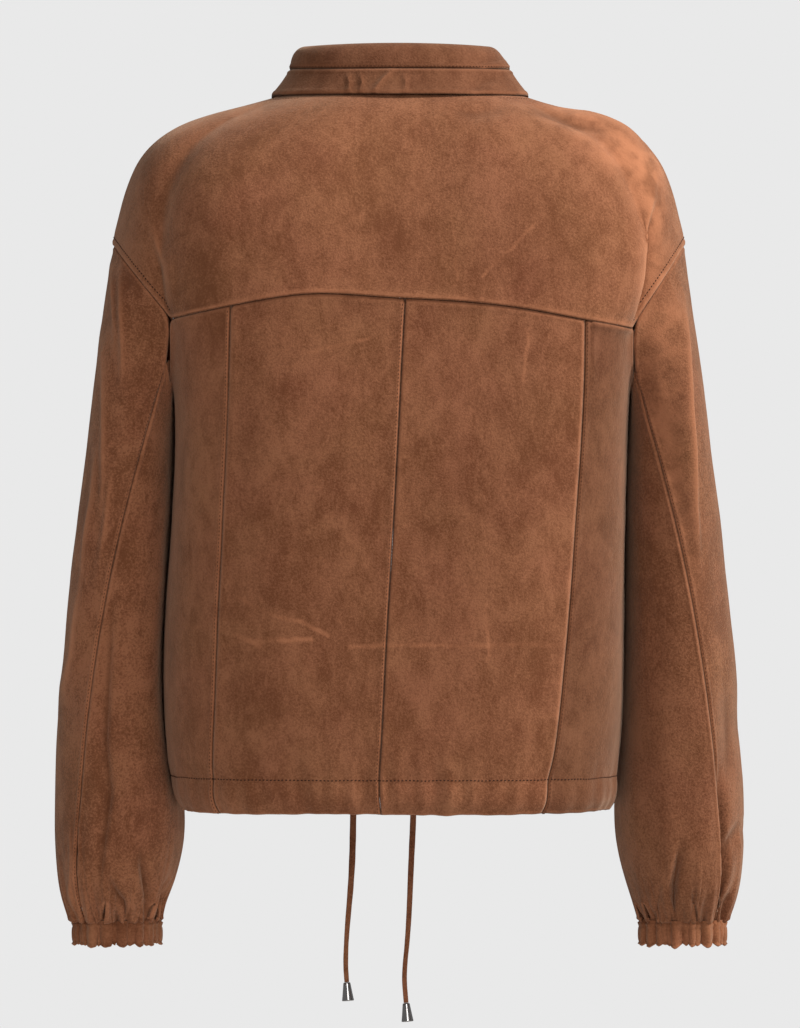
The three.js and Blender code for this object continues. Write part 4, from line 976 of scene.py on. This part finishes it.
def shape(name, piece):
    """Lifts every point of a panel along its normal, and keeps its two numbers for the suede."""
    mesh = piece.data
    places = read_vectors(mesh, "co") / MM
    normals = read_vectors(mesh, "normal")
    tree = tree_of([places[k] for k in border_of(mesh)])
    edge = np.array([tree.find(p)[2] for p in places])
    lift = seam_height(name, edge)
    behind = np.clip((normals[:, 1] + 0.25) / 0.4, 0, 1)
    # Painted highlight, partly rub, on the crease ridges, and painted shade in their valleys.
    crease_highlight_and_shade = np.zeros(len(places))
    for where, seen, line, height, widths in creases_of(name, places):
        facing = behind if seen else 1 - behind
        lift += CREASE_STRENGTH * facing * crease_height(where, line, height, widths)
        narrow = [CREST["share"] * min(width, CREST["width"]) for width in widths]
        colouring = math.copysign(min(1, abs(height) / CREST["full"]), height)
        crease_highlight_and_shade += facing * crease_height(where, line, colouring, narrow)
    if name.startswith(("sleeve_upper", "back_side")):
        lift += armpit_height(places, edge)
    if not name.startswith(("cuff", "collar")):
        lift += [unevenness(name, p) for p in places]
    shaped = places + normals * lift[:, None]
    if name.startswith(("cuff", "sleeve")):
        gathered(name, places, shaped)
    shaped *= MM
    mesh.vertices.foreach_set("co", shaped.astype(np.float32).ravel())
    mesh.update()
    # Where a sleeve meets its cuff there is neither a rubbed ridge nor a painted groove shade.
    worn_and_painted = np.where(places[:, 2] < CUFF_TOP + 4, np.maximum(edge, 5), edge)
    for key, values in {"edge": worn_and_painted * MM, "crease_highlight_and_shade": crease_highlight_and_shade}.items():
        mesh.attributes.new(key, "FLOAT", "POINT").data.foreach_set("value", values.astype(np.float32))


for name, piece in cloth.items():
    split_near_creases(name, piece)
    borders[name] = border_of(piece.data)
    shape(name, piece)
print("shaped:", len(cloth), "faces:", sum(len(piece.data.polygons) for piece in cloth.values()))

# %% [markdown]
# Stitches repeat along a path, so Geometry Nodes make them. A path runs beside a seam, at a fixed distance
# from the panel's edge, and is laid onto the cloth. The tree turns each path into a curve, spaces points on
# it evenly, puts one slim stitch on each in line with the path, and makes them real.

# %% The paths of the stitches
SHORTEST = {"run": 6, "path": 3, "hem": 8}  # shorter ones, counted in points, aren't sewn
ABOVE_CLOTH = {"seam": 0.05, "hem": 0.1}
SMOOTHINGS = 6


def surface_of(name):
    return BVHTree.FromObject(cloth[name], bpy.context.evaluated_depsgraph_get())


def ordered_runs(mesh, chosen):
    """The chosen border vertices as lists in the order that the border runs."""
    chosen = set(chosen)
    links = {}
    for a, b in open_edges(mesh):
        if a in chosen and b in chosen:
            links.setdefault(a, []).append(b)
            links.setdefault(b, []).append(a)
    runs = []
    left = set(links)
    while left:
        ends = [k for k in left if len(links[k]) == 1]
        onward = ends[:1] or [next(iter(left))]
        run = []
        while onward:
            run.append(onward[0])
            left.discard(onward[0])
            onward = [k for k in links[run[-1]] if k in left]
        runs.append(run)
    return [run for run in runs if len(run) > SHORTEST["run"]]


def beside_seam(name, neighbour_points, reach, inset, keep=lambda p: True):
    """Paths on a panel, beside the part of its edge that lies near the given points."""
    mesh = cloth[name].data
    tree = tree_of(neighbour_points)
    co = read_vectors(mesh, "co") / MM
    chosen = [k for k in borders[name] if tree.find(co[k])[2] < reach and keep(co[k])]
    surface = surface_of(name)
    paths = []
    for run in ordered_runs(mesh, chosen):
        line = co[run]
        step = np.gradient(line, axis=0)
        path = []
        for p, t in zip(line, step):
            at, normal, face, _ = surface.find_nearest(Vector(p) * MM)
            inwards = normal.cross(Vector(t)).normalized()
            if inwards.dot(mesh.polygons[face].center - at) < 0:
                inwards = -inwards
            path.append(at + inwards * inset * MM)
        even = np.array(path)
        for _ in range(SMOOTHINGS):
            even[1:-1] = (even[:-2] + even[1:-1] + even[2:]) / 3
        laid = [surface.find_nearest(Vector(p)) for p in even[2:-2]]
        paths.append([spot + normal * ABOVE_CLOTH["seam"] * MM for spot, normal, _, _ in laid])
    return paths


def rim_points(name):
    co = read_vectors(cloth[name].data, "co") / MM
    return [co[k] for k in borders[name]]


STITCH_ROWS = {"dark": [], "tone": []}
STITCH_WIDTH = {"dark": 1.1, "tone": 0.8}


def add_rows(thread, name, others, reach, inset, keep=lambda p: True):
    """Rows on a piece, beside the edges of the others."""
    neighbours = [p for other in others for p in rim_points(other)]
    paths = beside_seam(name, neighbours, reach, inset, keep)
    STITCH_ROWS[thread] += [path for path in paths if len(path) > SHORTEST["path"]]


BACKS = ("back_side_left", "back_centre_left", "back_centre_right", "back_side_right")
add_rows("tone", "back_side_left", ["back_centre_left"], 3, 2.3)
add_rows("tone", "back_centre_left", ["back_centre_right"], 3, 2.3)
add_rows("tone", "back_side_right", ["back_centre_right"], 3, 2.3)
add_rows("dark", "yoke", ["sleeve_upper_left", "sleeve_under_left"], 4, 6.0, lambda p: p[0] > 0)
add_rows("dark", "yoke", ["sleeve_upper_right", "sleeve_under_right"], 4, 6.2, lambda p: p[0] < 0)
add_rows("tone", "yoke", ["collar_band"], 6, 10.5, lambda p: p[1] > 20)
for side in ("left", "right"):
    add_rows("tone", f"sleeve_upper_{side}", [f"sleeve_under_{side}"], 3, 2.2)
    add_rows("dark", f"front_{side}", ["front_right" if side == "left" else "front_left"], 14, 5)
add_rows("tone", "collar_roll", ["collar_band"], 3, 1.6)


HEM = {"steps": 1200, "waver": 0.6, "middle": -0.01}


def hem_row(name):
    """The row that closes the casing, found by looking outwards from the jacket's middle."""
    surface = surface_of(name)
    paths = [[]]
    for turn in np.linspace(-math.pi, math.pi, HEM["steps"]):
        height = (CASING_TOP + HEM["waver"] * noise.noise(Vector((turn * 9, 0, 0)))) * MM
        outwards = Vector((math.cos(turn), math.sin(turn), 0))
        at, normal, _, _ = surface.ray_cast(Vector((0, HEM["middle"], height)), outwards)
        if at is None:
            paths.append([])
        else:
            paths[-1].append(at + normal * ABOVE_CLOTH["hem"] * MM)
    return [path for path in paths if len(path) > SHORTEST["hem"]]


for name in ("front_left", "front_right", *BACKS):
    STITCH_ROWS["dark"] += hem_row(name)
print("rows of stitches:", {thread: len(rows) for thread, rows in STITCH_ROWS.items()})

# %% The tree that sews
def set_along(tree, curve, pitch, shape, aside=None):
    """Copies of a shape at even steps along a curve, in line with it."""
    points = wire(tree, "GeometryNodeCurveToPoints", {"Curve": curve, "Length": pitch}, mode="LENGTH").outputs
    turn = first(tree, "FunctionNodeAlignRotationToVector", {"Vector": points["Tangent"]}, axis="Z")
    spots = points[0]
    if aside is not None:
        spots = first(tree, "GeometryNodeSetPosition", {"Geometry": spots, "Offset": aside})
    return first(tree, "GeometryNodeInstanceOnPoints", {"Points": spots, "Instance": shape, "Rotation": turn})


def real_copies(tree, copies, material):
    real = first(tree, "GeometryNodeRealizeInstances", {"Geometry": copies})
    return first(tree, "GeometryNodeSetMaterial", {"Geometry": real, "Material": material})


def sewing_tree():
    tree, given, result = new_group(
        "sewing",
        {"Rows": "Geometry", "Pitch": "Float", "Length": "Float", "Width": "Float", "Thread": "Material"},
        {"Stitches": "Geometry"}, "GeometryNodeTree")
    curves = first(tree, "GeometryNodeMeshToCurve", {"Mesh": given["Rows"]})
    bead = first(tree, "GeometryNodeMeshUVSphere", {"Segments": 5, "Rings": 3, "Radius": 0.5})
    size = first(tree, "ShaderNodeCombineXYZ", {0: given["Width"], 1: given["Width"], 2: given["Length"]})
    slim = first(tree, "GeometryNodeTransform", {"Geometry": bead, "Scale": size})
    soft = first(tree, "GeometryNodeSetShadeSmooth", {"Geometry": slim})
    placed = set_along(tree, curves, given["Pitch"], soft)
    tree.links.new(real_copies(tree, placed, given["Thread"]), result["Stitches"])
    return tree


def grown(name, carrier, tree, values):
    """Runs a tree on an object with named values, and gives back a plain mesh."""
    modifier = carrier.modifiers.new("grow", "NODES")
    modifier.node_group = tree
    for item in tree.interface.items_tree:
        if item.in_out == "INPUT" and item.name in values:
            modifier[item.identifier] = values[item.name]
    return plain_copy(carrier, name)


def rows_object(name, rows):
    """Rows of points joined by edges, for a tree to grow on."""
    mesh = bpy.data.meshes.new(name)
    vertices = [tuple(p) for row in rows for p in row]
    starts = np.concatenate([[0], np.cumsum([len(row) for row in rows])])
    edges = [(int(s) + k, int(s) + k + 1) for s, row in zip(starts, rows) for k in range(len(row) - 1)]
    mesh.from_pydata(vertices, edges, [])
    return new_object(name, mesh)


SEWING = sewing_tree()
STITCH = {"Pitch": 3.0 * MM, "Length": 2.0 * MM}
for thread, rows in STITCH_ROWS.items():
    carrier = rows_object(f"rows_{thread}", rows)
    values = {**STITCH, "Width": STITCH_WIDTH[thread] * MM, "Thread": THREAD[thread]}
    stitches = grown(f"stitches_{thread}", carrier, SEWING, values)
    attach(stitches, "jacket")
    print(f"stitches_{thread}: {len(stitches.data.polygons)} faces")

# %% [markdown]
# The zip's teeth repeat along its line too. A row of small blocks stands on each side of the middle, and
# the second row is shifted by half a pitch, so they mesh. The line runs from the hem up to the slider.

# %% Zip teeth
ZIP_LINE = [
    (13.2, -106.2, -568.5), (13.3, -107.4, -567), (13.5, -110.9, -561), (13.2, -112, -550),
    (12.8, -111, -542), (12.7, -113, -535), (11.8, -115.2, -510), (10.1, -117.9, -460),
    (8.3, -119.7, -410), (6.5, -121.4, -360), (4.7, -123, -310), (3.3, -123.9, -272),
    (2.3, -123.9, -245), (1.1, -122.9, -210), (0, -122, -180), (0, -118.3, -150),
    (0, -109.9, -122), (0, -99.1, -98), (0, -91.7, -84), (0, -86.1, -74),
    (0, -85.4, -60.3),
]
FORWARD = 0.55  # how far the teeth stand in front of that line


def teeth_tree():
    tree, given, result = new_group(
        "zip_teeth",
        {"Line": "Geometry", "Pitch": "Float", "Size": "Vector", "Aside": "Float", "Metal": "Material"},
        {"Teeth": "Geometry"}, "GeometryNodeTree")
    curve = first(tree, "GeometryNodeMeshToCurve", {"Mesh": given["Line"]})
    block = first(tree, "GeometryNodeMeshCube", {"Size": given["Size"]})
    both = wire(tree, "GeometryNodeJoinGeometry")
    for k, sign in enumerate((-1, 1)):
        start = calculate(tree, "MULTIPLY", given["Pitch"], 0.5 * k)
        length = first(tree, "GeometryNodeCurveLength", {"Curve": curve})
        part = first(tree, "GeometryNodeTrimCurve", {"Curve": curve, 4: start, 5: length}, mode="LENGTH")
        aside = first(tree, "ShaderNodeCombineXYZ", {0: calculate(tree, "MULTIPLY", given["Aside"], sign)})
        tree.links.new(set_along(tree, part, given["Pitch"], block, aside), both.inputs[0])
    tree.links.new(real_copies(tree, both.outputs[0], given["Metal"]), result["Teeth"])
    return tree


def stand_for(piece, solid):
    """Puts a finished piece in the place of its solid."""
    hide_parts(solid)
    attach(piece, "jacket")


zip_line = smooth_line(ZIP_LINE, 400) - np.array([0, FORWARD * MM, 0])
tooth = {"Pitch": 2.6 * MM, "Size": (2.6 * MM, 1.9 * MM, 1.15 * MM), "Aside": 1.1 * MM, "Metal": ZIP_METAL}
carrier = rows_object("zip_line", [[Vector(p) for p in zip_line]])
zip_teeth = grown("zip_teeth", carrier, teeth_tree(), tooth)
stand_for(zip_teeth, "zip_chain")
print("zip teeth:", len(zip_teeth.data.polygons) // 6)

# %% [markdown]
# The cloth gets its thickness back, inwards from the outer skin: the casing is folded double, the collar
# and the cuffs are a little thicker, and each edge goes on out of sight under its neighbour. Then each
# panel takes its solid's place and prints its area and its count of triangles.

# %% Thickness and places
THICK = {"cloth": 1.5, "casing": 4.0, "collar_band": 2.2, "cuff_left": 2.0, "cuff_right": 2.0}
# How the cloth goes on beyond its edge, out of sight: outwards along the cloth, and down into the seam.
ALLOWANCE = [(0.4, -0.8), (2.0, -1.0)]
# Round the neck and the wrists it goes straight inwards instead, and the second number is how far it rises.
# The collar band and the cuffs go on up inside the piece above them.
RISING_ALLOWANCE = [(0.9, 0.4), (0.5, 3.2)]
TURNED_ALLOWANCE = [(1.0, -0.3), (1.8, -0.3)]
RISES_INSIDE = {"collar_band": ["collar_roll"]}
for side in ("left", "right"):
    RISES_INSIDE[f"cuff_{side}"] = [f"sleeve_upper_{side}", f"sleeve_under_{side}"]
SEAM_REACH, WIDE_REACH = 5, 9
OUTLINES = {name: [piece.data.vertices[k].co / MM for k in borders[name]] for name, piece in cloth.items()}


def turn_in(name, piece):
    """Carries the cloth on under its neighbour, so that no light comes through a seam. Free edges stay."""
    mesh = piece.data
    others = tree_of([p for other in cloth if other != name for p in OUTLINES[other]])
    bm = bmesh.new()
    bm.from_mesh(mesh)
    bm.normal_update()
    rim = [edge for edge in bm.edges if edge.is_boundary]
    above = [p for other in RISES_INSIDE.get(name, []) for p in OUTLINES[other]]
    above = tree_of(above or [Vector((0, 0, 1e6))])
    kinds = {"flat": [], "turned": [], "rising": []}
    for edge in rim:
        far = max(others.find(v.co / MM)[2] for v in edge.verts)
        if max(above.find(v.co / MM)[2] for v in edge.verts) < WIDE_REACH:
            kinds["rising"].append(edge)
        elif far < SEAM_REACH:
            at_wrist = edge.verts[0].co.z / MM < CUFF_TOP + 6
            kinds["turned" if at_wrist or name.startswith("collar") else "flat"].append(edge)
    turn_edges(bm, kinds["flat"], ALLOWANCE)
    lo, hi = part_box("cuff_" + name.split("_")[-1] if name.startswith(("cuff", "sleeve")) else "collar_band")
    axis = (Vector(lo) + Vector(hi)) / 2
    turn_edges(bm, kinds["turned"], TURNED_ALLOWANCE, axis)
    turn_edges(bm, kinds["rising"], RISING_ALLOWANCE, axis)
    bm.to_mesh(mesh)
    bm.free()


def turn_edges(bm, rim, steps, axis=None):
    """Two more rows of faces on an open edge: along the cloth and into it, or towards an upright axis."""
    for outwards, down in steps:
        ways = {}
        for edge in rim:
            face = edge.link_faces[0]
            middle = (edge.verts[0].co + edge.verts[1].co) / 2
            along = (edge.verts[1].co - edge.verts[0].co).normalized()
            away = middle - face.calc_center_median()
            away = (away - along * away.dot(along)).normalized()
            for vertex in edge.verts:
                ways.setdefault(vertex, []).append((away, face.normal))
        new = bmesh.ops.extrude_edge_only(bm, edges=rim)["geom"]
        moved = [v for v in new if isinstance(v, bmesh.types.BMVert)]
        starts = tree_of([v.co for v in ways])
        sources = list(ways)
        for vertex in moved:
            near = ways[sources[starts.find(vertex.co)[1]]]
            away = sum((a for a, _ in near), Vector()).normalized()
            normal = sum((n for _, n in near), Vector()).normalized()
            if axis:
                inwards = Vector((axis.x - vertex.co.x, axis.y - vertex.co.y, 0)).normalized()
                away, normal = inwards, Vector((0, 0, 1))
            vertex.co += (away * outwards + normal * down) * MM
        rim = [edge for edge in new if isinstance(edge, bmesh.types.BMEdge) and edge.is_boundary]
        bm.normal_update()


def thicken(name, piece):
    """A wall on the sheet's inner side, with its edges sharp."""
    mesh = piece.data
    has_casing = name.startswith(("back", "front"))
    full = THICK["casing"] if has_casing else THICK.get(name, THICK["cloth"])
    group = piece.vertex_groups.new(name="thickness")
    for k, p in enumerate(read_vectors(mesh, "co") / MM):
        share = 1.0
        if has_casing:
            share = float(np.interp(p[2], [CASING_TOP - 3, CASING_TOP + 1], [1, THICK["cloth"] / full]))
        group.add([k], share, "REPLACE")
    solid = piece.modifiers.new("thickness", "SOLIDIFY")
    solid.thickness = full * MM
    solid.offset = -1
    solid.vertex_group = "thickness"
    made = plain_copy(piece, f"{name}_cloth")
    made.data.shade_smooth()
    made.data.set_sharp_from_angle(angle=math.radians(55))
    return made


for name in list(cloth):
    turn_in(name, cloth[name])
    cloth[name] = thicken(name, cloth[name])
    piece = cloth[name]
    piece.data.materials.clear()
    piece.data.materials.append(SUEDES.get(name, SUEDES[PIECES[name][0]]))
    stand_for(piece, name)
    area = sum(polygon.area for polygon in piece.data.polygons) / 2
    print(f"{name}: {area * 1e4:.0f} cm2, {2 * len(piece.data.polygons)} triangles")

# %% [markdown]
# The laces, tips and eyelets take their solids' places, and the zip's remaining solids get their materials.

# %% Metal and laces take their places
for side, (made, _, _) in laces.items():
    for piece, solid, slot, material in (
        (made, "cord", "lace", SUEDES["lace"]),
        (tips[side], "cord_tip", "tip_metal", GUNMETAL),
        (eyelets[side], "eyelet", "eyelet_metal", GUNMETAL),
    ):
        piece.data.materials.append(material)
        stand_for(piece, f"{solid}_{side}")

KEPT_NODES = {"zip_slider": ZIP_METAL, "zip_pull": ZIP_METAL, "zip_tape_left": TAPE_CLOTH,
              "zip_tape_right": TAPE_CLOTH}
for name, material in KEPT_NODES.items():
    nodes[name].data.materials.clear()
    nodes[name].data.materials.append(material)
print("solids kept:", list(KEPT_NODES))
